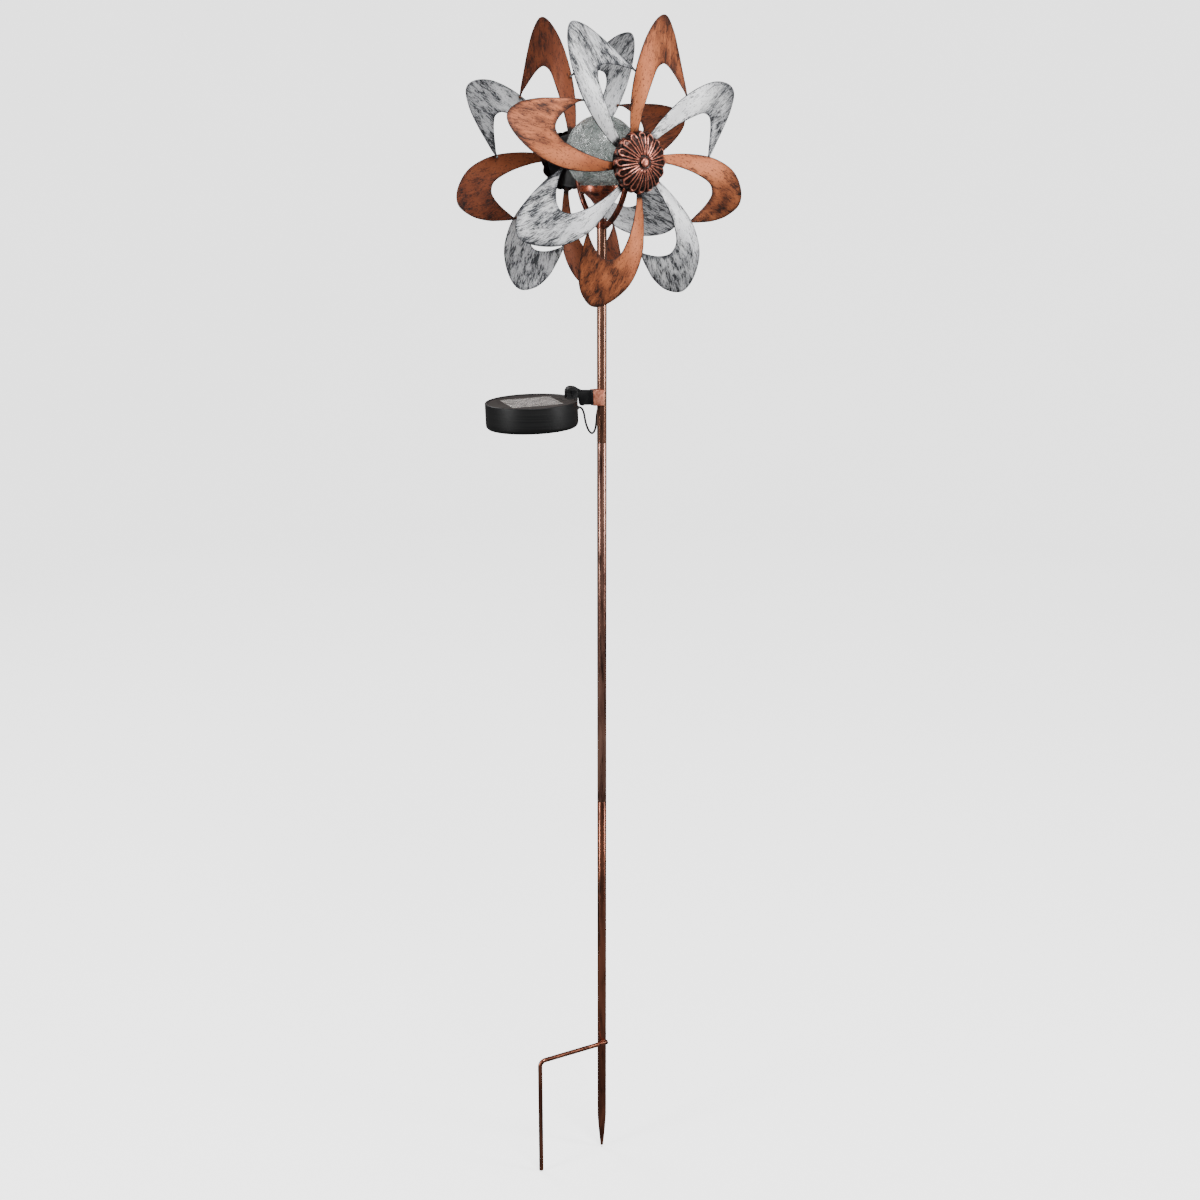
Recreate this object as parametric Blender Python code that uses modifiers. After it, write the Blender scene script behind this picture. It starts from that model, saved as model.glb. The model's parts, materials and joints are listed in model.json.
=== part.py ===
"""Kinetic wind sculpture: a garden stake with two wind rotors, a lit glass ball and a solar unit.

Frame: metres, +Z up. The origin is on the pole's axis at ground level. The rotors turn on one
horizontal axis along Y: the front rotor faces -Y and the rear one, the same part turned back to
back, faces +Y.
"""
import math

import bmesh
import bpy
from mathutils import Matrix, Vector

MM = 0.001
GAP = 0.3 * MM

# Heights above the ground
HUB_HEIGHT = 1240 * MM
POLE_TOP = 1159 * MM
UPPER_JOINT = 884 * MM
LOWER_JOINT = 375 * MM
TAPER_START = -124 * MM
TIP_HEIGHT = -182 * MM
PRONG_END = -183 * MM
STRAP_BOTTOM = 934 * MM
STRAP_TOP = 954 * MM
GROMMET_HEIGHT = 928 * MM

# Pole
POLE_RADIUS = 6.4 * MM
POLE_BORE = 5.4 * MM
COUPLER_RADIUS = 5.3 * MM
COUPLER_BORE = 4.1 * MM
COUPLER_HALF = 38 * MM
POLE_STEPS = 20

# Step prong
PRONG_RADIUS = 3.2 * MM
PRONG_REACH = 106 * MM
PRONG_OVERRUN = 4 * MM
PRONG_BEND = 8 * MM
PRONG_AZIMUTH = math.radians(175.3)

# Fork: each arm is an arc in the rotor axis's plane, round a centre beyond the pole
ARM_RADIUS = 3.7 * MM
ARM_BEND = 86 * MM
ARM_CENTRE = -27 * MM
ARM_LOW_ANGLE = math.radians(65.8)
ARM_HIGH_ANGLE = math.radians(3.2)
PLUG_TOP = 1171 * MM

# Rotor stations, measured outward from the pole's axis
BOSS_START = 52.5 * MM
BOSS_END = 70.6 * MM
BOSS_RADIUS = 7 * MM
BOSS_BORE = 3.4 * MM
BUSH_START = 71 * MM
WASHER_START = 84.6 * MM
SLEEVE_START = 73 * MM
SLEEVE_END = 83 * MM
SLEEVE_RADIUS = 8 * MM
SLEEVE_BORE = 5.35 * MM
DISC_BACK = 73.8 * MM
DISC_FRONT = 75 * MM
DISC_RADIUS = 33.4 * MM
DISC_HOLE = 8.3 * MM
AXLE_RADIUS = 3 * MM
BUSH_BORE = 3.08 * MM
BUSH_RADIUS = 5.2 * MM
AXLE_END = 90.5 * MM
SHEET = 0.8 * MM
PETAL_COUNT = 8
PETAL_STEPS = 17
FRONT_PHASE = math.radians(-3.7)
REAR_PHASE = math.radians(-47.6)

# The petal's two edges from root to tip: across, up and outward from the pole's axis, in mm.
# This petal is the one whose hook ends just left of the top of the rotor.
OUTER_EDGE = [
    (-19, 10, 75.9), (-35, 19, 75.6), (-63, 42, 79), (-87, 70, 83), (-102, 104, 80.5),
    (-103, 136, 70), (-93, 154, 61), (-71, 153, 57), (-49, 141, 60), (-31, 126, 68),
    (-18, 114, 75.5), (-10, 105, 81.2),
]
INNER_EDGE = [
    (-14, 15, 77), (-31, 30, 80.5), (-48, 55, 83.5), (-59, 77, 83.5), (-64, 93, 81),
    (-61, 104.5, 77.5), (-54, 109, 75), (-44, 110.5, 74), (-34, 110, 74.5), (-24, 108.5, 76),
    (-16.5, 107, 78), (-11, 103.5, 81.2),
]

# Ball and cup, measured up from the hub
BALL_RADIUS = 46.5 * MM
BALL_CENTRE = 10.5 * MM
BALL_WALL = 3 * MM
NECK_RADIUS = 27.5 * MM
NECK_BORE = 24.5 * MM
NECK_END = -33.6 * MM
CUP_RADIUS = 31 * MM
CUP_TOP = -28 * MM
CUP_FLOOR = -34 * MM
CUP_BAND_END = -36 * MM
CUP_APEX = -55 * MM

# Solar unit. Its own frame has the hinge as origin, +X away from the pole and +Y along the hinge.
SOLAR_AZIMUTH = math.radians(165)
HINGE_REACH = 42 * MM
HINGE_HEIGHT = 953 * MM
REST_TILT = math.radians(1.8)
PUCK_RADIUS = 60 * MM
PUCK_CENTRE = 54 * MM
PUCK_TOP = -7.9 * MM
PUCK_BOTTOM = -41 * MM
DECK = -9.1 * MM
DECK_UNDER = -11.1 * MM
PUCK_BORE = 57.8 * MM
COVER_RADIUS = 55.6 * MM
COVER_THICK = 2 * MM
WINDOW_HALF = 33.7 * MM
SCREW_CIRCLE = 46 * MM
SCREW_HOLE = 1.6 * MM
PIN_RADIUS = 2 * MM
PIN_HOLE = 2.1 * MM
EYE_RADIUS = 7.5 * MM
ARM_HALF = 3.4 * MM
LUG_INNER = 3.8 * MM
LUG_OUTER = 6.6 * MM
CHEEK = 7.9 * MM
CHEEK_START = -1 * MM
CHEEK_END = 13.8 * MM
STRAP_SHEET = 1.2 * MM
TONGUE_END = 16 * MM
STRAP_SCREW_REACH = 11 * MM
SLIDER_REACH = 84 * MM
BATTERY_REACH = 36 * MM
BATTERY_HEIGHT = -25.5 * MM
BATTERY_RADIUS = 7.1 * MM
BOARD_REACH = 62 * MM
BOARD_HEIGHT = -23 * MM

# Cable from the solar unit into the pole. Its route is given along the arm's direction, across
# it away from the front, and up from the ground, in mm.
CABLE_RADIUS = 1.4 * MM
CABLE_BORE = 1.75 * MM
LEAD_BORE = 2.2 * MM
LEAD_RADIUS = 1.1 * MM
GLAND_DROP = -21.5 * MM
GLAND_HOLE = 2.7 * MM
GROMMET_HOLE = 2.5 * MM
GROMMET_AZIMUTH = math.radians(85)
CABLE_ROUTE = [
    (38, 0, 931.6), (34, 0, 931.7), (29.9, 0, 931.8), (26.6, 0.4, 929.2), (24.2, 1, 923.5),
    (22.6, 1.7, 916), (20.4, 2.7, 908), (17, 4.2, 900.8), (12.8, 6.4, 896.2),
    (8.6, 9.2, 896.2), (5.3, 11.4, 900.8), (3.7, 12.6, 908.5), (2.9, 12.6, 917),
    (2.2, 11.3, 924.4), (1.5, 8.8, 927.7), (0.9, 5.4, 928),
]

for old in list(bpy.data.objects):
    bpy.data.objects.remove(old)
scene_root = bpy.context.scene.collection
parts = bpy.data.collections.new("kinetic_wind_sculpture")
cutters = bpy.data.collections.new("cutters")
scene_root.children.link(parts)
scene_root.children.link(cutters)

# Look: colour, roughness, metallic
LOOKS = {
    "copper": ((0.60, 0.26, 0.15), 0.38, 0.9),
    "dark_copper": ((0.22, 0.09, 0.06), 0.42, 0.85),
    "silver": ((0.62, 0.63, 0.66), 0.38, 0.9),
    "black_steel": ((0.02, 0.02, 0.022), 0.45, 0.6),
    "zinc": ((0.55, 0.56, 0.58), 0.35, 1.0),
    "clear_glass": ((0.80, 0.84, 0.82), 0.08, 0.0),
    "black_plastic": ((0.018, 0.018, 0.02), 0.5, 0.0),
    "clear_plastic": ((0.35, 0.33, 0.32), 0.12, 0.0),
    "silicon_cell": ((0.10, 0.09, 0.11), 0.25, 0.3),
    "white_plastic": ((0.80, 0.80, 0.78), 0.45, 0.0),
    "rubber": ((0.02, 0.02, 0.02), 0.75, 0.0),
    "circuit_green": ((0.03, 0.20, 0.08), 0.5, 0.0),
    "cell_wrap": ((0.10, 0.32, 0.16), 0.4, 0.0),
    "bronze": ((0.50, 0.36, 0.16), 0.45, 0.8),
}


def material(look):
    """The shared Principled material of a look."""
    found = bpy.data.materials.get(look)
    if found:
        return found
    colour, roughness, metallic = LOOKS[look]
    made = bpy.data.materials.new(look)
    made.use_nodes = True
    shader = made.node_tree.nodes["Principled BSDF"]
    shader.inputs["Base Color"].default_value = (*colour, 1)
    shader.inputs["Roughness"].default_value = roughness
    shader.inputs["Metallic"].default_value = metallic
    return made


def put(piece, place, parent):
    """Place an object in its parent's frame."""
    piece.parent = parent
    if place is not None:
        piece.matrix_basis = place


def add(name, mesh, look, place=None, parent=None):
    """Link a mesh as a named part with its material."""
    piece = bpy.data.objects.new(name, mesh)
    parts.objects.link(piece)
    mesh.materials.append(material(look))
    if mesh.polygons:
        mesh.shade_smooth()
        mesh.set_sharp_from_angle(angle=math.radians(35))
    put(piece, place, parent)
    return piece


def frame_empty(name, place, parent=None):
    """An empty whose frame a group of pieces shares."""
    empty = bpy.data.objects.new(name, None)
    parts.objects.link(empty)
    put(empty, place, parent)
    return empty


def mesh_from(builder):
    """A mesh filled in by a function that takes a bmesh."""
    work = bmesh.new()
    builder(work)
    mesh = bpy.data.meshes.new("part")
    work.to_mesh(mesh)
    work.free()
    return mesh


def profile_mesh(profiles):
    """Edges of one or more (radius, height) profiles. One that doesn't start on the axis closes."""
    mesh = bpy.data.meshes.new("profile")
    verts = []
    edges = []
    for points in profiles:
        first = len(verts)
        verts += [(radius, 0, height) for radius, height in points]
        edges += [(first + i, first + i + 1) for i in range(len(points) - 1)]
        if points[0][0] > 0:
            edges.append((len(verts) - 1, first))
    mesh.from_pydata(verts, edges, [])
    return mesh


def turned(name, profiles, look, steps=24, place=None, parent=None):
    """A turned part: its profile runs down the outer side, and a Screw modifier sweeps it round."""
    piece = add(name, profile_mesh(profiles), look, place, parent)
    screw = piece.modifiers.new("turn", "SCREW")
    screw.steps = steps
    screw.render_steps = steps
    screw.use_merge_vertices = True
    screw.merge_threshold = 0.00001
    screw.use_smooth_shade = True
    return piece


def tube_profile(outer, bore, top, bottom):
    """The profile of a plain tube with small outer chamfers."""
    edge = 0.3 * MM
    return [
        (bore, top), (outer - edge, top), (outer, top - edge),
        (outer, bottom + edge), (outer - edge, bottom), (bore, bottom),
    ]


def tube(name, outer, bore, top, bottom, look, steps=24, place=None, parent=None):
    """A plain tube."""
    profile = tube_profile(outer, bore, top, bottom)
    return turned(name, [profile], look, steps, place, parent)


def box_corners(work, low, high, place=None):
    """A box between two corners, added to a bmesh."""
    size = [h - l for l, h in zip(low, high)]
    centre = [(h + l) / 2 for l, h in zip(low, high)]
    matrix = Matrix.Translation(centre) @ Matrix.Diagonal((*size, 1))
    if place is not None:
        matrix = place @ matrix
    bmesh.ops.create_cube(work, size=1, matrix=matrix)


def cylinder(work, radius, start, end, segments=16):
    """A closed cylinder between two points, added to a bmesh."""
    start = Vector(start)
    end = Vector(end)
    axis = end - start
    turn = Vector((0, 0, 1)).rotation_difference(axis).to_matrix().to_4x4()
    matrix = Matrix.Translation((start + end) / 2) @ turn
    bmesh.ops.create_cone(work, cap_ends=True, segments=segments, radius1=radius,
                          radius2=radius, depth=axis.length, matrix=matrix)


def as_mesh(piece):
    """A curve object's evaluated mesh, with its caps welded, and the curve removed."""
    bpy.context.view_layer.update()
    evaluated = piece.evaluated_get(bpy.context.evaluated_depsgraph_get())
    mesh = bpy.data.meshes.new_from_object(evaluated)
    bpy.data.objects.remove(piece)
    work = bmesh.new()
    work.from_mesh(mesh)
    bmesh.ops.remove_doubles(work, verts=work.verts, dist=0.01 * MM)
    work.to_mesh(mesh)
    work.free()
    mesh.materials.clear()
    return mesh


def flat_mesh(outlines, low, high):
    """A flat shape from closed outlines, the later ones holes, between two heights."""
    curve = bpy.data.curves.new("outline", "CURVE")
    curve.dimensions = "2D"
    curve.fill_mode = "BOTH"
    curve.extrude = (high - low) / 2
    for outline in outlines:
        spline = curve.splines.new("POLY")
        spline.points.add(len(outline) - 1)
        spline.use_cyclic_u = True
        for target, (x, y) in zip(spline.points, outline):
            target.co = (x, y, 0, 1)
    piece = bpy.data.objects.new("outline", curve)
    parts.objects.link(piece)
    mesh = as_mesh(piece)
    mesh.transform(Matrix.Translation((0, 0, (high + low) / 2)))
    return mesh


def circle(radius, count=16, centre=(0, 0), turn=0):
    """Points round a circle."""
    angles = [turn + 2 * math.pi * i / count for i in range(count)]
    return [(centre[0] + radius * math.cos(a), centre[1] + radius * math.sin(a)) for a in angles]


def arc(radius, start, end, count, centre=(0, 0)):
    """Points along an arc, with angles in degrees."""
    angles = [math.radians(start + (end - start) * i / count) for i in range(count + 1)]
    return [(centre[0] + radius * math.cos(a), centre[1] + radius * math.sin(a)) for a in angles]


def guide(mesh, place=None, parent=None):
    """A hidden object for a Boolean."""
    piece = bpy.data.objects.new("guide", mesh)
    cutters.objects.link(piece)
    piece.hide_render = True
    piece.display_type = "WIRE"
    put(piece, place, parent)
    return piece


def boolean(piece, other, operation):
    """Cut a guide out of a piece, or join it on."""
    step = piece.modifiers.new(operation.lower(), "BOOLEAN")
    step.operation = operation
    step.solver = "EXACT"
    step.object = other


def rod(name, points, radius, look, bevel_resolution=2, parent=None):
    """A round bar or wire through a list of points."""
    curve = bpy.data.curves.new(name, "CURVE")
    curve.dimensions = "3D"
    spline = curve.splines.new("POLY")
    spline.points.add(len(points) - 1)
    for target, point in zip(spline.points, points):
        target.co = (*point, 1)
    curve.bevel_depth = radius
    curve.bevel_resolution = bevel_resolution
    curve.use_fill_caps = True
    curve.materials.append(material(look))
    piece = bpy.data.objects.new(name, curve)
    parts.objects.link(piece)
    put(piece, None, parent)
    return piece


def smooth_route(points, steps):
    """Points along a Catmull-Rom curve through a route."""
    ends = [points[0]] + list(points) + [points[-1]]
    route = []
    for a, b, c, d in zip(ends, ends[1:], ends[2:], ends[3:]):
        for i in range(steps):
            t = i / steps
            route.append(tuple(
                0.5 * (2 * q + (r - p) * t + (2 * p - 5 * q + 4 * r - s) * t ** 2
                       + (3 * q - p - 3 * r + s) * t ** 3)
                for p, q, r, s in zip(a, b, c, d)))
    route.append(tuple(points[-1]))
    return route


# ---------------------------------------------------------------- pole

def pole():
    """Three tube sections and the two spigots that join them."""
    tube("middle_pole", POLE_RADIUS, POLE_BORE, UPPER_JOINT - GAP / 2, LOWER_JOINT + GAP / 2,
         "copper", POLE_STEPS)
    top = tube("top_pole", POLE_RADIUS, POLE_BORE, POLE_TOP, UPPER_JOINT + GAP / 2,
               "copper", POLE_STEPS)
    hole = mesh_from(lambda work: cylinder(work, GROMMET_HOLE, (2 * MM, 0, 0), (9 * MM, 0, 0)))
    boolean(top, guide(hole, grommet_place()), "DIFFERENCE")
    start = LOWER_JOINT - GAP / 2
    stake = [
        (0, TAPER_START + 5 * MM), (POLE_BORE, TAPER_START + 9 * MM), (POLE_BORE, start),
        (POLE_RADIUS - GAP, start), (POLE_RADIUS, start - GAP), (POLE_RADIUS, TAPER_START),
        (POLE_RADIUS * 0.86, TAPER_START - 18 * MM), (POLE_RADIUS * 0.5, TIP_HEIGHT + 12 * MM),
        (0.7 * MM, TIP_HEIGHT), (0, TIP_HEIGHT),
    ]
    turned("stake_section", [stake], "copper", POLE_STEPS)
    for name, joint in (("upper_coupler", UPPER_JOINT), ("lower_coupler", LOWER_JOINT)):
        tube(name, COUPLER_RADIUS, COUPLER_BORE, joint + COUPLER_HALF, joint - COUPLER_HALF,
             "zinc", 20)


def prong():
    """The foot prong: a bar across the stake's front, out to a bend and straight down. The bar's
    top is at ground level."""
    height = -PRONG_RADIUS
    corner = arc(PRONG_BEND, 90, 0, 6, (PRONG_REACH - PRONG_BEND, height - PRONG_BEND))
    outline = [(-PRONG_OVERRUN, height)] + corner + [(PRONG_REACH, PRONG_END)]
    across = Vector((math.cos(PRONG_AZIMUTH), math.sin(PRONG_AZIMUTH), 0))
    front = Vector((-across.y, across.x, 0)) * (POLE_RADIUS + PRONG_RADIUS + GAP)
    points = [tuple(front + across * x + Vector((0, 0, z))) for x, z in outline]
    rod("step_prong", points, PRONG_RADIUS, "copper", 2)


def grommet_place():
    """The frame of the cable hole: +X straight out of the pole."""
    return Matrix.Translation((0, 0, GROMMET_HEIGHT)) @ Matrix.Rotation(GROMMET_AZIMUTH, 4, "Z")


# ---------------------------------------------------------------- fork, cup and ball

def fork():
    """The plug in the pole's top and the two bent arms that hold the axles."""
    plug = [
        (LEAD_BORE, PLUG_TOP), (POLE_RADIUS - MM, PLUG_TOP), (POLE_RADIUS, PLUG_TOP - MM),
        (POLE_RADIUS, POLE_TOP + GAP), (POLE_BORE - 0.15 * MM, POLE_TOP + GAP),
        (POLE_BORE - 0.15 * MM, POLE_TOP - 14 * MM), (LEAD_BORE, POLE_TOP - 14 * MM),
    ]
    turned("fork_plug", [plug], "dark_copper", POLE_STEPS)
    count = 12
    for label, side in (("front", -1), ("rear", 1)):
        points = []
        for i in range(count + 1):
            angle = ARM_LOW_ANGLE + (ARM_HIGH_ANGLE - ARM_LOW_ANGLE) * i / count
            reach = ARM_CENTRE + ARM_BEND * math.cos(angle)
            points.append((0, side * reach, HUB_HEIGHT - ARM_BEND * math.sin(angle)))
        bar = as_mesh(rod("bar", points, ARM_RADIUS, "dark_copper", 2))
        arm = add(f"{label}_fork_arm", bar, "dark_copper")
        place = rotor_frame(side)
        boolean(arm, guide(flat_mesh([circle(BOSS_RADIUS, 20)], BOSS_START, BOSS_END), place),
                "UNION")
        bore = flat_mesh([circle(BOSS_BORE, 16)], BOSS_START - MM, BOSS_END + MM)
        boolean(arm, guide(bore, place), "DIFFERENCE")


def up_from_hub(points):
    """A profile given as heights over the hub."""
    return [(radius, HUB_HEIGHT + height) for radius, height in points]


def ball_and_cup():
    """The glass ball on its turned cup, with the LED in its neck."""
    cup = [
        (LEAD_BORE, CUP_FLOOR), (NECK_RADIUS + 0.4 * MM, CUP_FLOOR),
        (NECK_RADIUS + 0.4 * MM, CUP_TOP), (CUP_RADIUS - 0.5 * MM, CUP_TOP),
        (CUP_RADIUS, CUP_TOP - 0.5 * MM), (CUP_RADIUS, CUP_BAND_END + 0.5 * MM),
        (CUP_RADIUS - 0.5 * MM, CUP_BAND_END), (25 * MM, CUP_BAND_END),
        (24.5 * MM, CUP_BAND_END - MM), (4.4 * MM, CUP_APEX), (3.4 * MM, CUP_APEX - 2 * MM),
        (3.4 * MM, PLUG_TOP + GAP - HUB_HEIGHT), (LEAD_BORE, PLUG_TOP + GAP - HUB_HEIGHT),
    ]
    turned("ball_cup", [up_from_hub(cup)], "dark_copper", 24)
    inner = BALL_RADIUS - BALL_WALL
    cut_outer = -90 + math.degrees(math.asin(NECK_RADIUS / BALL_RADIUS))
    cut_inner = -90 + math.degrees(math.asin(NECK_BORE / inner))
    outside = arc(BALL_RADIUS, 90, cut_outer, 10, (0, BALL_CENTRE))
    inside = arc(inner, cut_inner, 90, 8, (0, BALL_CENTRE))
    outside[0] = (0, BALL_CENTRE + BALL_RADIUS)
    inside[-1] = (0, BALL_CENTRE + inner)
    neck = [(NECK_RADIUS, NECK_END), (NECK_BORE, NECK_END)]
    turned("glass_ball", [up_from_hub(outside + neck + inside)], "clear_glass", 24)
    base = NECK_END
    holder = [
        (2.7 * MM, base + 15 * MM), (4.2 * MM, base + 15 * MM), (5 * MM, base + 2 * MM),
        (22 * MM, base + 2 * MM), (22 * MM, base), (2.7 * MM, base),
    ]
    turned("led_holder", [up_from_hub(holder)], "white_plastic", 20)
    lens = arc(2.5 * MM, 90, 0, 4, (0, base + 19 * MM))
    lens[0] = (0, base + 21.5 * MM)
    led = lens + [(2.5 * MM, base + 12 * MM), (0, base + 12 * MM)]
    turned("led", [up_from_hub(led)], "clear_plastic", 16)


# ---------------------------------------------------------------- rotors

def rotor_frame(side):
    """The frame of a rotor: +Z outward along its axis, +Y up. side is -1 in front, 1 behind."""
    outward = Vector((0, side, 0))
    up = Vector((0, 0, 1))
    across = up.cross(outward)
    turn = Matrix((across, up, outward)).transposed().to_4x4()
    return Matrix.Translation((0, 0, HUB_HEIGHT)) @ turn


def edge_curve(points, count):
    """Evenly counted points along one edge of a petal."""
    fine = smooth_route([tuple(v * MM for v in point) for point in points], count)
    last = len(fine) - 1
    return [Vector(fine[round(last * i / count)]) for i in range(count + 1)]


def petal_mesh():
    """A strip that widens, turns over a crest and hooks back to the next petal, formed in one
    sheet. A grid's long sides are laid along the two edges."""
    outer = edge_curve(OUTER_EDGE, PETAL_STEPS)
    inner = edge_curve(INNER_EDGE, PETAL_STEPS)
    work = bmesh.new()
    bmesh.ops.create_grid(work, x_segments=1, y_segments=PETAL_STEPS, size=0.5)
    for vert in work.verts:
        along = round((vert.co.y + 0.5) * PETAL_STEPS)
        across = vert.co.x + 0.5
        vert.co = outer[along].lerp(inner[along], across)
    mesh = bpy.data.meshes.new("petal")
    work.to_mesh(mesh)
    work.free()
    return mesh


def petals(rotor, label, phase, looks):
    """Eight petals, two finishes in turn, clockwise from the top one."""
    for look_offset, look in enumerate(looks):
        mesh = petal_mesh()
        mesh.materials.append(material(look))
        mesh.shade_smooth()
        for index in range(look_offset, PETAL_COUNT, 2):
            turn = Matrix.Rotation(phase - 2 * math.pi * index / PETAL_COUNT, 4, "Z")
            piece = bpy.data.objects.new(f"{label}_petal_{index + 1}", mesh)
            parts.objects.link(piece)
            put(piece, turn, rotor)
            sheet = piece.modifiers.new("sheet", "SOLIDIFY")
            sheet.thickness = SHEET
            sheet.offset = 0


def hub(rotor, label):
    """A rotor's turning parts: sleeve, bush, backing disc and the rosette cap with its nub."""
    tube(f"{label}_hub_sleeve", SLEEVE_RADIUS, SLEEVE_BORE, SLEEVE_END, SLEEVE_START, "zinc",
         20, parent=rotor)
    end = SLEEVE_END + 1.2 * MM
    flange = SLEEVE_START - GAP
    bush = [
        (BUSH_BORE, end), (BUSH_RADIUS, end), (BUSH_RADIUS, flange), (7.4 * MM, flange),
        (7.4 * MM, BUSH_START), (BUSH_BORE, BUSH_START),
    ]
    turned(f"{label}_bush", [bush], "bronze", 20, parent=rotor)
    tube(f"{label}_hub_disc", DISC_RADIUS, DISC_HOLE, DISC_FRONT, DISC_BACK, "black_steel", 24,
         parent=rotor)
    dome = [
        (0, 97.8), (3.4, 97.5), (5.2, 96.5), (5.5, 95.2), (12, 94.6), (22, 92.6), (30, 89.4),
        (35, 86.2), (36.5, 84),
    ]
    hollow = [(35.4, 84), (34.1, 85.7), (29.4, 88.5), (21.6, 91.6), (11.9, 93.6), (0, 94)]
    cap = [(radius * MM, height * MM) for radius, height in dome + hollow]
    turned(f"{label}_rosette_cap", [cap], "dark_copper", 24, parent=rotor)


def axle(label, place):
    """The fixed bolt that a rotor turns on, with its washer and lock nut."""
    bolt = add(f"{label}_axle_bolt", flat_mesh([circle(5.7 * MM, 6)], BOSS_START - 4.3 * MM,
                                               BOSS_START - GAP), "zinc", place)
    shank = flat_mesh([circle(AXLE_RADIUS, 20)], BOSS_START - MM, AXLE_END)
    boolean(bolt, guide(shank, place), "UNION")
    washer = flat_mesh([circle(6 * MM, 16), circle(3.4 * MM, 16)], WASHER_START,
                       WASHER_START + 0.8 * MM)
    add(f"{label}_axle_washer", washer, "zinc", place)
    start = WASHER_START + 0.8 * MM + GAP
    nut = flat_mesh([circle(5.2 * MM, 6), circle(3.35 * MM, 16)], start, start + 4 * MM)
    add(f"{label}_lock_nut", nut, "zinc", place)


def rotors():
    """Two identical rotors back to back."""
    for label, side, phase, looks in (("front", -1, FRONT_PHASE, ("silver", "copper")),
                                      ("rear", 1, REAR_PHASE, ("copper", "silver"))):
        place = rotor_frame(side)
        rotor = frame_empty(f"{label}_rotor_axis", place)
        petals(rotor, label, phase, looks)
        hub(rotor, label)
        axle(label, place)


# ---------------------------------------------------------------- solar unit

def arm_frame():
    """The frame of the strap and arm: +X away from the pole, +Y up, +Z along the hinge."""
    return Matrix.Rotation(SOLAR_AZIMUTH, 4, "Z") @ Matrix.Rotation(math.pi / 2, 4, "X")


def strap_and_arm():
    """The copper strap, whose two cheeks clasp the pole on one side of a web and the black arm's
    tongue on the other, the arm, and their screw."""
    place = arm_frame()
    upright = Matrix.Translation((0, 0, STRAP_BOTTOM)) @ Matrix.Rotation(SOLAR_AZIMUTH, 4, "Z")
    inside = CHEEK - STRAP_SHEET
    web = POLE_RADIUS + GAP
    web_end = web + STRAP_SHEET
    height = STRAP_TOP - STRAP_BOTTOM
    block = mesh_from(lambda work: box_corners(work, (CHEEK_START, -CHEEK, 0),
                                               (CHEEK_END, CHEEK, height)))
    strap = add("pole_strap", block, "copper", upright)
    for start, end in ((CHEEK_START - MM, web), (web_end, CHEEK_END + MM)):
        pocket = mesh_from(lambda work: box_corners(work, (start, -inside, -MM),
                                                    (end, inside, height + MM)))
        boolean(strap, guide(pocket, upright), "DIFFERENCE")
    middle = (STRAP_SCREW_REACH, (STRAP_BOTTOM + STRAP_TOP) / 2)
    hole = mesh_from(lambda work: cylinder(work, SCREW_HOLE, (*middle, 0), (*middle, 9 * MM)))
    boolean(strap, guide(hole, place), "DIFFERENCE")

    eye = arc(EYE_RADIUS, 100, -100, 14, (HINGE_REACH, HINGE_HEIGHT))
    end = web_end + GAP
    low = STRAP_BOTTOM + 0.6 * MM
    high = STRAP_TOP - 0.6 * MM
    outline = eye + [
        (36.5 * MM, 945.8 * MM), (31.4 * MM, 944.4 * MM), (30.6 * MM, 936.8 * MM),
        (29.3 * MM, 934.6 * MM), (26.6 * MM, 934.2 * MM), (25 * MM, 935.2 * MM),
        (end, low), (end, high), (27 * MM, STRAP_TOP + 0.4 * MM), (33 * MM, 957.3 * MM),
        (37 * MM, 959.8 * MM),
    ]
    holes = [circle(PIN_HOLE, 16, (HINGE_REACH, HINGE_HEIGHT))]
    arm = add("solar_arm", flat_mesh([outline] + holes, -ARM_HALF, ARM_HALF), "black_plastic",
              place)
    thick = inside - GAP
    for side in (-1, 1):
        near, far = sorted((side * thick, side * (ARM_HALF - 0.5 * MM)))
        tongue = mesh_from(lambda work: box_corners(work, (end, low, near),
                                                    (TONGUE_END, high, far)))
        boolean(arm, guide(tongue, place), "UNION")
    bore = mesh_from(lambda work: cylinder(work, SCREW_HOLE, (*middle, -9 * MM),
                                           (*middle, 9 * MM), 12))
    boolean(arm, guide(bore, place), "DIFFERENCE")

    shank = flat_mesh([circle(1.3 * MM, 12, middle)], -2 * MM, CHEEK + MM)
    head = flat_mesh([circle(2.6 * MM, 16, middle)], CHEEK + GAP, CHEEK + 2.2 * MM)
    screw = add("strap_screw", shank, "zinc", place)
    boolean(screw, guide(head, place), "UNION")


def head_frame():
    """The solar unit's frame: origin on the hinge, +X away from the pole, tilted as at rest."""
    across = Matrix.Rotation(SOLAR_AZIMUTH, 4, "Z")
    hinge = across @ Vector((HINGE_REACH, 0, 0)) + Vector((0, 0, HINGE_HEIGHT))
    return Matrix.Translation(hinge) @ across @ Matrix.Rotation(REST_TILT, 4, "Y")


def along_hinge():
    """In the solar unit's frame: +X away from the pole, +Y up, +Z along the hinge."""
    return Matrix.Rotation(math.pi / 2, 4, "X")


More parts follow.
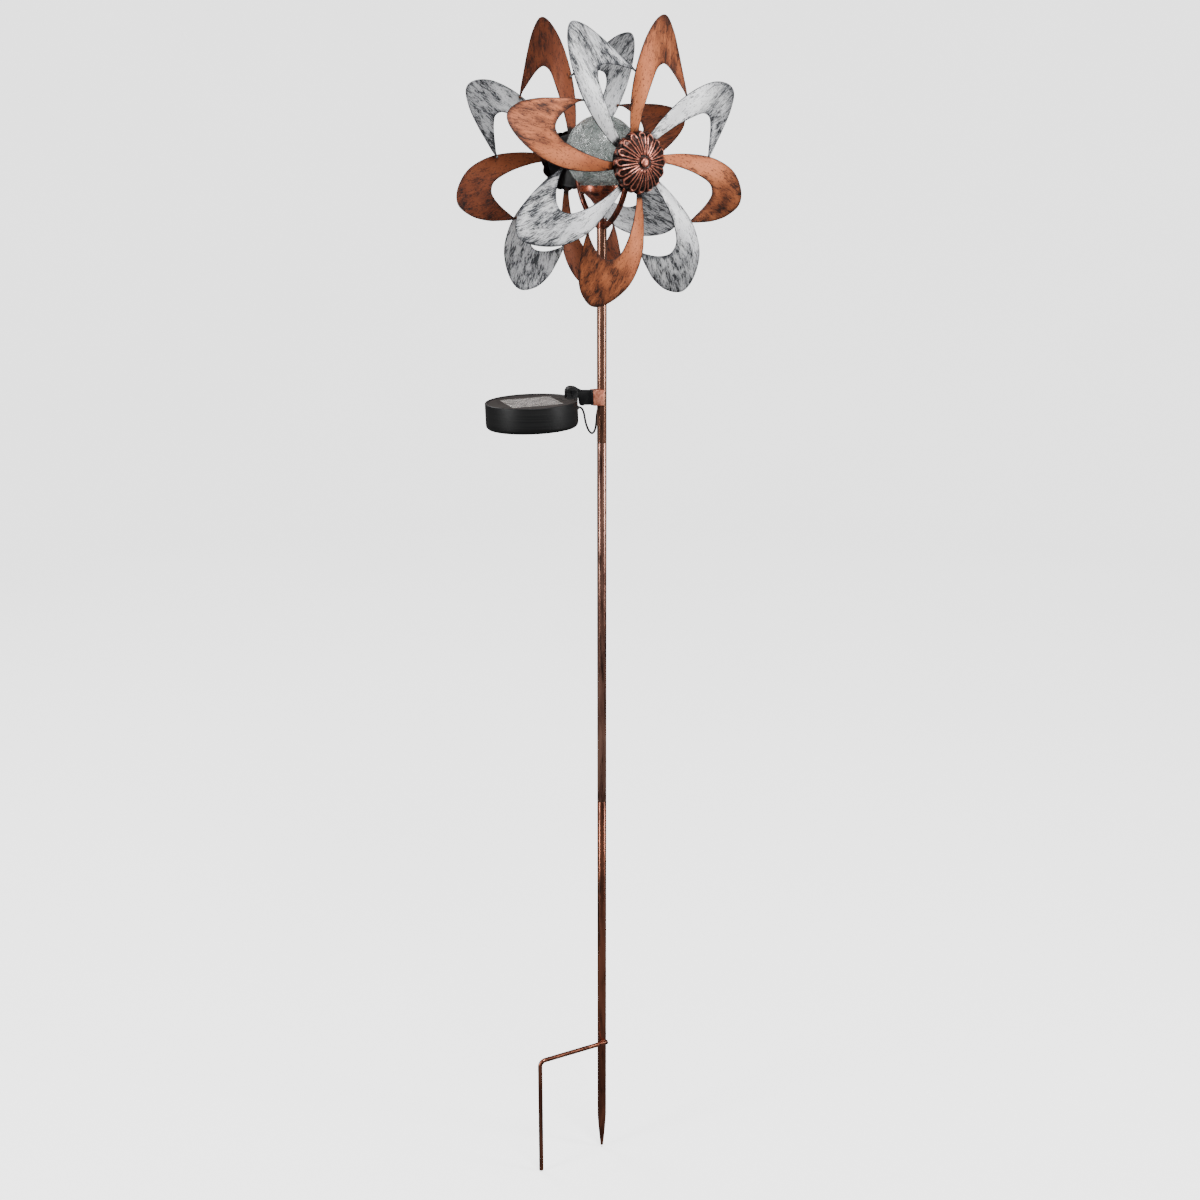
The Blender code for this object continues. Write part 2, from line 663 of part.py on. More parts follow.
def housing(head):
    """The upper shell with its hinge lugs, screw posts, window opening and cable hole."""
    profile = [
        (0, DECK), (56.4 * MM, DECK), (57.2 * MM, PUCK_TOP), (59.2 * MM, PUCK_TOP),
        (PUCK_RADIUS, PUCK_TOP - 0.9 * MM), (PUCK_RADIUS, PUCK_BOTTOM + 5 * MM),
        (59.3 * MM, PUCK_BOTTOM + 1.9 * MM), (57.6 * MM, PUCK_BOTTOM),
        (COVER_RADIUS + 0.4 * MM, PUCK_BOTTOM), (COVER_RADIUS + 0.4 * MM, PUCK_BOTTOM + 2.6 * MM),
        (PUCK_BORE, PUCK_BOTTOM + 4 * MM), (PUCK_BORE, DECK_UNDER), (0, DECK_UNDER),
    ]
    centre = Matrix.Translation((PUCK_CENTRE, 0, 0))
    shell = turned("solar_housing", [profile], "black_plastic", 40, centre, head)
    lug = [(-7.1 * MM, -10.6 * MM), (7.1 * MM, -10.6 * MM)] + arc(7.1 * MM, 0, 180, 10)
    upright = along_hinge()
    for low, high in ((-LUG_OUTER, -LUG_INNER), (LUG_INNER, LUG_OUTER)):
        boolean(shell, guide(flat_mesh([lug], low, high), upright, head), "UNION")
    tab = mesh_from(lambda work: box_corners(work, (2 * MM, -10 * MM, DECK - MM),
                                             (14 * MM, 10 * MM, DECK + 0.7 * MM)))
    boolean(shell, guide(tab, None, head), "UNION")
    for x, y in screw_places():
        post = mesh_from(lambda work: cylinder(work, 3.2 * MM, (x, y, PUCK_BOTTOM + 2.6 * MM),
                                               (x, y, DECK_UNDER + 0.5 * MM), 10))
        boolean(shell, guide(post, None, head), "UNION")
    half = WINDOW_HALF + GAP
    pin = flat_mesh([circle(PIN_HOLE, 12)], -9 * MM, 9 * MM)
    boolean(shell, guide(pin, upright, head), "DIFFERENCE")
    window = mesh_from(lambda work: box_corners(
        work, (PUCK_CENTRE - half, -half, DECK_UNDER - MM), (PUCK_CENTRE + half, half, 0)))
    boolean(shell, guide(window, None, head), "DIFFERENCE")
    edge = PUCK_CENTRE - PUCK_RADIUS
    hole = mesh_from(lambda work: cylinder(work, GLAND_HOLE, (edge - 4 * MM, 0, GLAND_DROP),
                                           (edge + 4 * MM, 0, GLAND_DROP), 12))
    boolean(shell, guide(hole, None, head), "DIFFERENCE")
    for x, y in screw_places():
        thread = mesh_from(lambda work: cylinder(work, 1.5 * MM, (x, y, PUCK_BOTTOM),
                                                 (x, y, PUCK_BOTTOM + 12 * MM), 10))
        boolean(shell, guide(thread, None, head), "DIFFERENCE")


def screw_places():
    """The two cover screws' places in the solar unit's frame."""
    return circle(SCREW_CIRCLE, 2, (PUCK_CENTRE, 0), math.pi / 2)


def cover(head):
    """The bottom cover with posts under the board, a battery cradle and the switch slot."""
    top = PUCK_BOTTOM + COVER_THICK
    disc = [circle(COVER_RADIUS, 40, (PUCK_CENTRE, 0))]
    disc += [circle(SCREW_HOLE, 10, place) for place in screw_places()]
    slot_half = 2.6 * MM
    slot = [
        (SLIDER_REACH - slot_half, -2.4 * MM), (SLIDER_REACH + slot_half, -2.4 * MM),
        (SLIDER_REACH + slot_half, 5.4 * MM), (SLIDER_REACH - slot_half, 5.4 * MM),
    ]
    plate = add("base_cover", flat_mesh(disc + [slot], PUCK_BOTTOM, top), "black_plastic",
                None, head)
    cradle = mesh_from(lambda work: [
        box_corners(work, (BATTERY_REACH - 6 * MM, y - MM, top - 0.5 * MM),
                    (BATTERY_REACH + 6 * MM, y + MM, BATTERY_HEIGHT - BATTERY_RADIUS - GAP))
        for y in (-16 * MM, 16 * MM)])
    boolean(plate, guide(cradle, None, head), "UNION")
    posts = mesh_from(lambda work: [
        cylinder(work, 2 * MM, (BOARD_REACH, y, top - 0.5 * MM), (BOARD_REACH, y, BOARD_HEIGHT - GAP),
                 10) for y in (-14 * MM, 14 * MM)])
    boolean(plate, guide(posts, None, head), "UNION")
    for index, place in enumerate(screw_places()):
        cap = flat_mesh([circle(2.8 * MM, 12, place)], PUCK_BOTTOM - 1.3 * MM, PUCK_BOTTOM - GAP)
        screw = add(f"cover_screw_{index + 1}", cap, "zinc", None, head)
        shank = flat_mesh([circle(1.2 * MM, 10, place)], PUCK_BOTTOM - 0.6 * MM,
                          PUCK_BOTTOM + 9 * MM)
        boolean(screw, guide(shank, None, head), "UNION")


def solar_contents(head):
    """Window, cell, board, rechargeable cell, slide switch, gland and hinge screw."""
    def block(name, look, low, high):
        return add(name, mesh_from(lambda work: box_corners(work, low, high)), look, None, head)

    half = WINDOW_HALF
    block("solar_window", "clear_plastic", (PUCK_CENTRE - half, -half, DECK_UNDER),
          (PUCK_CENTRE + half, half, DECK - 0.2 * MM))
    block("solar_cell", "silicon_cell", (PUCK_CENTRE - half, -half, DECK_UNDER - 1.5 * MM),
          (PUCK_CENTRE + half, half, DECK_UNDER - GAP))
    block("circuit_board", "circuit_green", (BOARD_REACH - 10 * MM, -19 * MM, BOARD_HEIGHT),
          (BOARD_REACH + 10 * MM, 19 * MM, BOARD_HEIGHT + 1.6 * MM))
    turn = Matrix.Translation((BATTERY_REACH, 0, BATTERY_HEIGHT)) @ along_hinge()
    battery = [
        (0, 25.2 * MM), (2.6 * MM, 25.2 * MM), (2.6 * MM, 24 * MM), (BATTERY_RADIUS, 24 * MM),
        (BATTERY_RADIUS, -24 * MM), (0, -24 * MM),
    ]
    turned("rechargeable_cell", [battery], "cell_wrap", 20, turn, head)
    low = PUCK_BOTTOM + COVER_THICK + GAP
    slider = block("power_switch", "black_plastic", (SLIDER_REACH - 4 * MM, -4.2 * MM, low),
                   (SLIDER_REACH + 4 * MM, 4.2 * MM, low + 1.2 * MM))
    knob = mesh_from(lambda work: box_corners(
        work, (SLIDER_REACH - 2.2 * MM, -2 * MM, PUCK_BOTTOM - 1.2 * MM),
        (SLIDER_REACH + 2.2 * MM, 2 * MM, low + 0.6 * MM)))
    boolean(slider, guide(knob, None, head), "UNION")
    edge = PUCK_CENTRE - PUCK_RADIUS
    outward = Matrix.Translation((edge, 0, GLAND_DROP)) @ Matrix.Rotation(-math.pi / 2, 4, "Y")
    gland = [
        (CABLE_BORE, 3.6 * MM), (2.4 * MM, 3.6 * MM), (3.4 * MM, 1.4 * MM), (3.4 * MM, 0.4 * MM),
        (2.4 * MM, 0.4 * MM), (2.4 * MM, -3.2 * MM), (CABLE_BORE, -3.2 * MM),
    ]
    turned("cable_gland", [gland], "rubber", 16, outward, head)
    upright = along_hinge()
    pin = flat_mesh([circle(PIN_RADIUS, 16)], -LUG_OUTER - 4.2 * MM, LUG_OUTER + MM)
    screw = add("hinge_screw", pin, "black_steel", upright, head)
    cap = flat_mesh([circle(3.8 * MM, 16)], LUG_OUTER + GAP, LUG_OUTER + 2.2 * MM)
    boolean(screw, guide(cap, upright, head), "UNION")


# ---------------------------------------------------------------- wiring

def wiring():
    """The free cable with its grommet, and the lead inside the pole up to the LED."""
    outward = Vector((math.cos(SOLAR_AZIMUTH), math.sin(SOLAR_AZIMUTH), 0))
    behind = Vector((math.sin(SOLAR_AZIMUTH), -math.cos(SOLAR_AZIMUTH), 0))
    route = [tuple((outward * x + behind * y + Vector((0, 0, z))) * MM) for x, y, z in CABLE_ROUTE]
    rod("solar_cable", smooth_route(route, 2), CABLE_RADIUS, "rubber", 2)
    along = grommet_place() @ Matrix.Rotation(math.pi / 2, 4, "Y")
    grommet = [
        (CABLE_BORE, 7.8 * MM), (2.8 * MM, 7.8 * MM), (3.4 * MM, 7.3 * MM), (3.4 * MM, 6.8 * MM),
        (2.2 * MM, 6.8 * MM), (2.2 * MM, 4.8 * MM), (CABLE_BORE, 4.8 * MM),
    ]
    turned("pole_grommet", [grommet], "rubber", 16, along)
    inward = Vector((math.cos(GROMMET_AZIMUTH), math.sin(GROMMET_AZIMUTH), 0)) * MM
    bend = [inward * 4.5, inward * 2.6 + Vector((0, 0, 0.8 * MM)),
            inward * 1 + Vector((0, 0, 2.8 * MM)), Vector((0, 0, 6 * MM))]
    lead = [tuple(point + Vector((0, 0, GROMMET_HEIGHT))) for point in bend]
    lead.append((0, 0, HUB_HEIGHT + NECK_END + 11 * MM))
    rod("led_lead", lead, LEAD_RADIUS, "rubber", 2)


def build():
    pole()
    prong()
    fork()
    ball_and_cup()
    rotors()
    strap_and_arm()
    head = frame_empty("solar_hinge_axis", head_frame())
    housing(head)
    cover(head)
    solar_contents(head)
    wiring()


build()
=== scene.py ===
"""Looks of the kinetic wind sculpture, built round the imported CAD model. Metres, +Z up."""
import json
import math

import bmesh
import bpy
from mathutils import Matrix, Vector, noise


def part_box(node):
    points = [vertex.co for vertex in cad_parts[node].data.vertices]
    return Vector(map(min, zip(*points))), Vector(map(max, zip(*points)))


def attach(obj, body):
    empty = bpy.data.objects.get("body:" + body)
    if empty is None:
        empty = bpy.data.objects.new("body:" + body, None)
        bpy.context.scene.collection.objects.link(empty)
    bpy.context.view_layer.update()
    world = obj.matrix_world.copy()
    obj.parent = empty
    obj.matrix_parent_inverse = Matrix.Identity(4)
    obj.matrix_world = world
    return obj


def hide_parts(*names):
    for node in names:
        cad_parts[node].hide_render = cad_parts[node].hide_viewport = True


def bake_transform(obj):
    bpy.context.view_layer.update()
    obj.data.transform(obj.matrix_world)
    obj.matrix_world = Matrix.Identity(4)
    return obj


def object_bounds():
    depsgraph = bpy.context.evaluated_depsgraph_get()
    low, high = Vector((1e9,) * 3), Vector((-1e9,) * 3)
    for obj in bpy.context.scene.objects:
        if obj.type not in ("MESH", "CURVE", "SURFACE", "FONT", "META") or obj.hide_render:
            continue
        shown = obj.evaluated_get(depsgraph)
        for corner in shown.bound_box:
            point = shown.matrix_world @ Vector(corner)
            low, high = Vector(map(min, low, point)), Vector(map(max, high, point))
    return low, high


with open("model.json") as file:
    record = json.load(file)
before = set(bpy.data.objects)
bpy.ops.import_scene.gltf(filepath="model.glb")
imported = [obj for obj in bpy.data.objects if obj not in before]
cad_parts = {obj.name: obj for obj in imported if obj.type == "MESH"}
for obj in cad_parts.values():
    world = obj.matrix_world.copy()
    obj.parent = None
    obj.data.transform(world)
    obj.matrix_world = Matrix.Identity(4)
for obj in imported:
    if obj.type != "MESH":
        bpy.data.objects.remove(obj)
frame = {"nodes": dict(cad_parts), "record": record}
cad_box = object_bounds()
MM = 0.001
HUB_HEIGHT = 1240 * MM
HUB = Vector((0, 0, HUB_HEIGHT))

# ---------------------------------------------------------------- camera, floor and lights
CAMERA_DISTANCE = 2.08
CAMERA_YAW = math.radians(33.2)
CAMERA_PITCH = math.radians(16.06)
CAMERA_RISE = 27 * MM
LENS_MM = 48
SENSOR_MM = 36
SIDE_SHIFT = -0.0015
FLOOR_DROP = 2 * MM


def camera():
    """The camera stands to the front's left, a little above the hubs, and looks down at the pole."""
    data = bpy.data.cameras.new("camera")
    data.lens = LENS_MM
    data.sensor_width = SENSOR_MM
    data.shift_x = SIDE_SHIFT
    piece = bpy.data.objects.new("camera", data)
    bpy.context.scene.collection.objects.link(piece)
    piece.location = (-CAMERA_DISTANCE * math.sin(CAMERA_YAW),
                      -CAMERA_DISTANCE * math.cos(CAMERA_YAW), HUB_HEIGHT + CAMERA_RISE)
    piece.rotation_euler = (math.pi / 2 - CAMERA_PITCH, 0, -CAMERA_YAW)
    bpy.context.scene.camera = piece


def soft_light(name, azimuth, distance, height, width, tall, power):
    """A softbox that faces the pole. Azimuth is counted from +X, anticlockwise from above."""
    data = bpy.data.lights.new(name, "AREA")
    data.shape = "RECTANGLE"
    data.size = width
    data.size_y = tall
    data.energy = power
    light = bpy.data.objects.new(name, data)
    bpy.context.scene.collection.objects.link(light)
    angle = math.radians(azimuth)
    light.location = (distance * math.cos(angle), distance * math.sin(angle), height)
    aim = Vector((0, 0, 0.8)) - light.location
    light.rotation_euler = aim.to_track_quat("-Z", "Y").to_euler()


def studio():
    """A white floor that curves up to a backdrop all round, under soft lights."""
    low = cad_box[0][2] - FLOOR_DROP
    flat = 4.0
    bend = 2.0
    steps = 16
    profile = [(0.001, 0)] + [(flat + bend * math.sin(a), bend - bend * math.cos(a))
                              for a in (math.pi / 2 * i / steps for i in range(steps + 1))]
    profile.append((flat + bend, 7))
    mesh = turned_mesh("floor", [(r, low + z) for r, z in profile], 64)
    floor = bpy.data.objects.new("floor", mesh)
    bpy.context.scene.collection.objects.link(floor)
    paint = Paint("floor_paint", 0.9)
    tone = paint.noise(paint.coords("Object", 1.5), detail=2)
    colour = paint.mix(tone, (0.93, 0.93, 0.93), (0.97, 0.97, 0.97))
    paint.set("Base Color", colour)
    paint.set("Emission Color", colour)
    paint.set("Emission Strength", 2.3)
    floor.data.materials.append(paint.material)
    floor.visible_glossy = False
    floor.visible_diffuse = False

    world = bpy.data.worlds.new("studio")
    bpy.context.scene.world = world
    world.use_nodes = True
    world.node_tree.nodes["Background"].inputs["Color"].default_value = (1, 1, 1, 1)
    world.node_tree.nodes["Background"].inputs["Strength"].default_value = 0.16
    soft_light("left_softbox", 180, 2.4, 1.5, 0.5, 2.6, 52)
    soft_light("right_softbox", 308, 2.6, 1.5, 0.5, 2.6, 52)
    soft_light("top_softbox", 258, 1.9, 3.2, 1.0, 1.0, 85)
    soft_light("back_softbox", 105, 2.4, 2.9, 1.2, 1.2, 45)


# ---------------------------------------------------------------- node materials

class Paint:
    """A procedural material: short calls that add nodes and return their outputs."""

    def __init__(self, name, roughness=0.5, metallic=0.0):
        self.material = bpy.data.materials.new(name)
        self.material.use_nodes = True
        self.tree = self.material.node_tree
        self.shader = self.tree.nodes["Principled BSDF"]
        self.set("Roughness", roughness)
        self.set("Metallic", metallic)

    def set(self, socket, value):
        """Set or link one input of the Principled shader."""
        self.fill(self.shader.inputs[socket], value)

    def fill(self, target, value):
        """Set or link one socket."""
        if isinstance(value, bpy.types.NodeSocket):
            self.tree.links.new(value, target)
        elif isinstance(value, tuple) and len(value) == 3 and target.type == "RGBA":
            target.default_value = (*value, 1)
        else:
            target.default_value = value

    def node(self, kind, inputs=(), **settings):
        """Add a shader node with its settings and inputs."""
        made = self.tree.nodes.new("ShaderNode" + kind)
        for key, value in settings.items():
            setattr(made, key, value)
        for socket, value in dict(inputs).items():
            self.fill(made.inputs[socket], value)
        return made

    def coords(self, kind="Object", scale=1.0, shift=(0, 0, 0)):
        """Texture coordinates, scaled along each axis."""
        source = self.node("TexCoord").outputs[kind]
        factors = scale if isinstance(scale, tuple) else (scale, scale, scale)
        return self.node("Mapping", {"Vector": source, "Scale": factors,
                                     "Location": shift}).outputs["Vector"]

    def noise(self, vector, detail=4, rough=0.6, warp=0.0):
        """Fractal noise from 0 to 1."""
        return self.node("TexNoise", {"Vector": vector, "Scale": 1.0, "Detail": detail,
                                      "Roughness": rough, "Distortion": warp}).outputs["Fac"]

    def cells(self, vector, feature="DISTANCE_TO_EDGE"):
        """Distance from a Voronoi cell's edge, or from its point with feature F1."""
        return self.node("TexVoronoi", {"Vector": vector, "Scale": 1.0},
                         feature=feature).outputs["Distance"]

    def step(self, value, low, high, start=0.0, end=1.0):
        """A smooth step of a value between two thresholds."""
        return self.node("MapRange", {"Value": value, "From Min": low, "From Max": high,
                                      "To Min": start, "To Max": end},
                         interpolation_type="SMOOTHSTEP").outputs["Result"]

    def maths(self, operation, first, second):
        """One sum on two numbers or sockets."""
        return self.node("Math", {0: first, 1: second}, operation=operation).outputs["Value"]

    def mix(self, factor, first, second):
        """A blend of two colours."""
        made = self.node("Mix", data_type="RGBA")
        self.fill(made.inputs["Factor"], factor)
        self.fill(made.inputs[6], first)
        self.fill(made.inputs[7], second)
        return made.outputs[2]

    def mark(self, name):
        """A number stored on the mesh's points."""
        return self.node("Attribute", attribute_name=name).outputs["Fac"]

    def bump(self, height, distance, strength):
        """Small relief, with its height in metres."""
        made = self.node("Bump", {"Height": height, "Distance": distance, "Strength": strength})
        self.set("Normal", made.outputs["Normal"])


def petal_paint(name, light, shade, crest_shade_and_wear, flake, back, stroke_start, speck_start):
    """Brushed paint on sheet metal: long strokes over a light coat, dark edges, black root, and
    painted shade that darkens the crest and hook.
    A lower stroke_start gives more strokes, and a lower speck_start more specks."""
    paint = Paint(name, 0.42, 0.3)
    paint.set("Specular IOR Level", 0.25)
    fine = paint.noise(paint.coords("UV", (130, 860, 1)), detail=5, rough=0.78, warp=0.3)
    broad = paint.noise(paint.coords("UV", (36, 130, 1)), detail=5, rough=0.7, warp=0.6)
    clouds = paint.noise(paint.coords("UV", (14, 26, 1), (3, 7, 0)), detail=3)
    specks = paint.noise(paint.coords("UV", (260, 420, 1), (9, 2, 0)), detail=4, rough=0.75)
    # The wear mark holds edge wear plus painted shade at the crest and hook.
    wear_and_shade = paint.mark("wear_and_shade")
    colour = paint.mix(paint.step(clouds, 0.35, 0.68), light, shade)
    rubbed_and_shaded = paint.maths("ADD", wear_and_shade, paint.maths("MULTIPLY", broad, 0.7))
    # Painted shade: the crest and hook, which curve back, turn to the deep tone, together with real
    # wear near the edges.
    colour = paint.mix(paint.step(rubbed_and_shaded, 0.62, 1.18, 0, 0.9), colour, crest_shade_and_wear)
    colour = paint.mix(paint.mark("back"), colour, back)
    strokes = paint.maths("ADD", fine, paint.maths("MULTIPLY", broad, 0.72))
    strokes = paint.maths("ADD", strokes, paint.maths("MULTIPLY", wear_and_shade, 0.24))
    colour = paint.mix(paint.step(strokes, stroke_start, stroke_start + 0.15, 0, 0.95), colour, flake)
    colour = paint.mix(paint.step(specks, speck_start, speck_start + 0.06, 0, 0.85), colour, flake)
    edge = paint.maths("ADD", paint.mark("edge"), paint.maths("MULTIPLY", fine, 0.5))
    colour = paint.mix(paint.step(edge, 0.6, 1.0), colour, flake)
    soot = paint.maths("ADD", paint.mark("soot"), paint.maths("MULTIPLY", fine, 0.9))
    colour = paint.mix(paint.step(soot, 0.75, 1.25), colour, (0.008, 0.007, 0.007))
    paint.set("Base Color", colour)
    paint.set("Roughness", paint.step(strokes, 0.5, 1.2, 0.34, 0.6))
    height = paint.maths("SUBTRACT", paint.maths("MULTIPLY", fine, 0.6), strokes)
    paint.bump(height, 0.12 * MM, 0.5)
    return paint.material


def pole_paint(name, light, dark_tone):
    """Copper paint over the tube, rubbed and mottled along its length."""
    paint = Paint(name, 0.3, 0.9)
    along = paint.noise(paint.coords("Object", (260, 260, 16)), detail=5, rough=0.65, warp=0.5)
    patches = paint.noise(paint.coords("Object", (70, 70, 9)), detail=4, rough=0.6, warp=0.6)
    fine = paint.noise(paint.coords("Object", (700, 700, 120)), detail=4)
    colour = paint.mix(paint.step(patches, 0.38, 0.62), light, dark_tone)
    dark = paint.maths("ADD", along, paint.maths("MULTIPLY", patches, 0.6))
    colour = paint.mix(paint.step(dark, 0.83, 0.98, 0, 0.9), colour, (0.035, 0.02, 0.017))
    colour = paint.mix(paint.step(fine, 0.62, 0.72, 0, 0.5), colour, (0.06, 0.03, 0.02))
    paint.set("Base Color", colour)
    paint.set("Roughness", paint.step(dark, 0.6, 1.1, 0.2, 0.33))
    paint.bump(paint.maths("ADD", fine, along), 0.03 * MM, 0.25)
    return paint.material


def dark_copper_paint(name="dark_copper_paint", light=(0.30, 0.075, 0.04), dark=(0.045, 0.016, 0.012)):
    """Glossy red-brown copper with darker brushing."""
    paint = Paint(name, 0.27, 0.75)
    cloud = paint.noise(paint.coords("Object", 120), detail=5, rough=0.62, warp=0.6)
    fine = paint.noise(paint.coords("Object", 800), detail=4)
    colour = paint.mix(paint.step(cloud, 0.38, 0.66), light, dark)
    colour = paint.mix(paint.step(fine, 0.6, 0.72, 0, 0.6), colour, (0.02, 0.01, 0.009))
    paint.set("Base Color", colour)
    paint.set("Roughness", paint.step(cloud, 0.3, 0.7, 0.2, 0.4))
    paint.set("Coat Weight", 0.25)
    paint.bump(paint.maths("ADD", fine, cloud), 0.12 * MM, 0.4)
    return paint.material


def rosette_paint():
    """Dark bronze in the hollows, rubbed back to pinkish copper on the ridges."""
    paint = Paint("rosette_paint", 0.3, 0.7)
    cloud = paint.noise(paint.coords("Object", 260), detail=5, rough=0.65)
    fine = paint.noise(paint.coords("Object", 1500), detail=3)
    ridge = paint.maths("ADD", paint.mark("ridge"), paint.step(cloud, 0.3, 0.7, -0.28, 0.22))
    hollow = paint.mix(paint.step(cloud, 0.4, 0.65), (0.012, 0.012, 0.012), (0.075, 0.022, 0.014))
    bright = paint.mix(paint.step(fine, 0.35, 0.7), (0.64, 0.23, 0.16), (0.36, 0.10, 0.065))
    paint.set("Base Color", paint.mix(paint.step(ridge, 0.32, 0.72), hollow, bright))
    paint.set("Roughness", paint.step(cloud, 0.3, 0.7, 0.22, 0.42))
    paint.bump(fine, 0.08 * MM, 0.5)
    return paint.material


def strap_paint():
    """Salmon copper plate with darker blotches."""
    paint = Paint("strap_paint", 0.42, 0.6)
    blotch = paint.noise(paint.coords("Object", 240), detail=5, rough=0.65, warp=0.5)
    fine = paint.noise(paint.coords("Object", (900, 900, 300)), detail=4)
    colour = paint.mix(paint.step(blotch, 0.4, 0.62), (0.78, 0.31, 0.195), (0.50, 0.16, 0.095))
    colour = paint.mix(paint.step(blotch, 0.6, 0.72, 0, 0.7), colour, (0.12, 0.045, 0.03))
    paint.set("Base Color", colour)
    paint.set("Roughness", paint.step(fine, 0.3, 0.7, 0.34, 0.52))
    paint.bump(fine, 0.08 * MM, 0.4)
    return paint.material


def crackle_glass():
    """Clear grey-green glass with a web of cracks inside its wall, and painted white glints on the
    crack facets.
    """
    paint = Paint("crackle_glass", 0.12)
    bent = paint.noise(paint.coords("Object", 60), detail=3)
    place = paint.coords("Object", 75)
    moved = paint.node("VectorMath", {0: place, 1: bent}, operation="ADD").outputs["Vector"]
    large = paint.cells(moved)
    small = paint.cells(paint.coords("Object", 210))
    cloud = paint.noise(paint.coords("Object", 34), detail=5, rough=0.7, warp=1.6)
    cracks = paint.step(large, 0.0, 0.06, 1, 0)
    crazing = paint.step(small, 0.0, 0.09, 1, 0)
    web = paint.maths("MAXIMUM", cracks, paint.maths("MULTIPLY", crazing, 0.55))
    tint = paint.mix(paint.step(cloud, 0.35, 0.68), (0.76, 0.79, 0.77), (0.24, 0.28, 0.265))
    tint = paint.mix(paint.maths("MULTIPLY", web, 0.7), tint, (0.12, 0.14, 0.135))
    # Painted highlight: white glints speckled over the glass.
    painted_glint = paint.step(paint.cells(paint.coords("Object", 130), "F1"), 0.16, 0.3, 1, 0)
    tint = paint.mix(paint.maths("MULTIPLY", painted_glint, 0.4), tint, (1.0, 1.0, 1.0))
    paint.set("Base Color", tint)
    paint.set("Transmission Weight", 0.72)
    paint.set("IOR", 1.47)
    paint.set("Roughness", paint.step(cloud, 0.35, 0.7, 0.06, 0.34))
    paint.bump(paint.maths("SUBTRACT", cloud, web), 0.7 * MM, 0.7)
    return paint.material


def moulded_plastic(name, colour, grain=0.5, roughness=0.45):
    """Moulded plastic with fine grain and faint uneven sheen."""
    paint = Paint(name, roughness)
    paint.set("Specular IOR Level", 0.3)
    cloud = paint.noise(paint.coords("Object", 45), detail=3)
    fine = paint.noise(paint.coords("Object", 2200), detail=3)
    lighter = tuple(min(1.0, value * 1.4 + 0.001) for value in colour)
    tone = paint.mix(paint.step(cloud, 0.3, 0.7), colour, lighter)
    paint.set("Base Color", paint.mix(paint.step(fine, 0.62, 0.75, 0, 0.35), tone, lighter))
    paint.set("Roughness", paint.step(cloud, 0.3, 0.7, roughness - 0.06, roughness + 0.08))
    paint.bump(fine, 0.06 * MM, grain)
    return paint.material


def housing_plastic():
    """Matte black moulding with faint level lines round its wall, and a painted reflection that makes
    its upward faces a lighter brownish grey.
    """
    paint = Paint("housing_plastic", 0.5)
    paint.set("Specular IOR Level", 0.3)
    lines = paint.noise(paint.coords("Object", (3, 3, 900)), detail=3)
    cloud = paint.noise(paint.coords("Object", 40), detail=3)
    fine = paint.noise(paint.coords("Object", 2200), detail=2)
    # Painted reflection: faces that point up get the lighter brownish grey top colour.
    facing = paint.node("SeparateXYZ", {"Vector": paint.node("NewGeometry").outputs["Normal"]})
    level = paint.step(facing.outputs["Z"], 0.6, 0.95)
    wall = paint.mix(paint.step(lines, 0.45, 0.65), (0.005, 0.005, 0.0055), (0.011, 0.011, 0.011))
    top = paint.mix(paint.step(cloud, 0.35, 0.65), (0.030, 0.024, 0.022), (0.042, 0.034, 0.031))
    paint.set("Base Color", paint.mix(level, wall, top))
    paint.set("Roughness", paint.step(lines, 0.3, 0.7, 0.42, 0.56))
    paint.bump(paint.maths("ADD", lines, paint.maths("MULTIPLY", fine, 0.3)), 0.08 * MM, 0.6)
    return paint.material


def rubber_skin():
    """Matte black rubber, slightly dusty."""
    paint = Paint("rubber_skin", 0.7)
    dust = paint.noise(paint.coords("Object", 160), detail=5)
    fine = paint.noise(paint.coords("Object", 3000), detail=2)
    colour = paint.mix(paint.step(dust, 0.4, 0.8), (0.008, 0.008, 0.008), (0.02, 0.02, 0.02))
    paint.set("Base Color", colour)
    paint.set("Roughness", paint.step(dust, 0.3, 0.7, 0.55, 0.75))
    paint.bump(fine, 0.05 * MM, 0.4)
    return paint.material


def plated(name, colour, tarnish):
    """Plated or sintered metal with fine scratches and dull patches."""
    paint = Paint(name, 0.3, 1.0)
    cloud = paint.noise(paint.coords("Object", 300), detail=4)
    scratch = paint.noise(paint.coords("Object", (2600, 2600, 260)), detail=3)
    colour = paint.mix(paint.step(cloud, 0.35, 0.7), colour, tarnish)
    paint.set("Base Color", colour)
    paint.set("Roughness", paint.step(scratch, 0.3, 0.7, 0.22, 0.45))
    paint.bump(scratch, 0.04 * MM, 0.4)
    return paint.material


def solar_glass():
    """The cell under its clear window: dark taupe silicon with fine fingers."""
    paint = Paint("solar_glass", 0.2)
    turned = paint.node("Mapping", {"Vector": paint.node("TexCoord").outputs["Object"],
                                    "Rotation": (0, 0, -SOLAR_AZIMUTH)}).outputs["Vector"]
    split = paint.node("SeparateXYZ", {"Vector": turned})
    fingers = paint.maths("PINGPONG", split.outputs["X"], 1.1 * MM)
    grid = paint.step(fingers, 0.0, 0.14 * MM, 1, 0)
    cloud = paint.noise(paint.coords("Object", 90), detail=4)
    base = paint.mix(paint.step(cloud, 0.35, 0.65), (0.075, 0.058, 0.054), (0.105, 0.082, 0.077))
    paint.set("Base Color", paint.mix(paint.maths("MULTIPLY", grid, 0.35), base, (0.22, 0.20, 0.19)))
    paint.set("Roughness", paint.step(cloud, 0.3, 0.7, 0.24, 0.34))
    paint.set("Coat Weight", 0.6)
    paint.bump(cloud, 0.05 * MM, 0.3)
    return paint.material


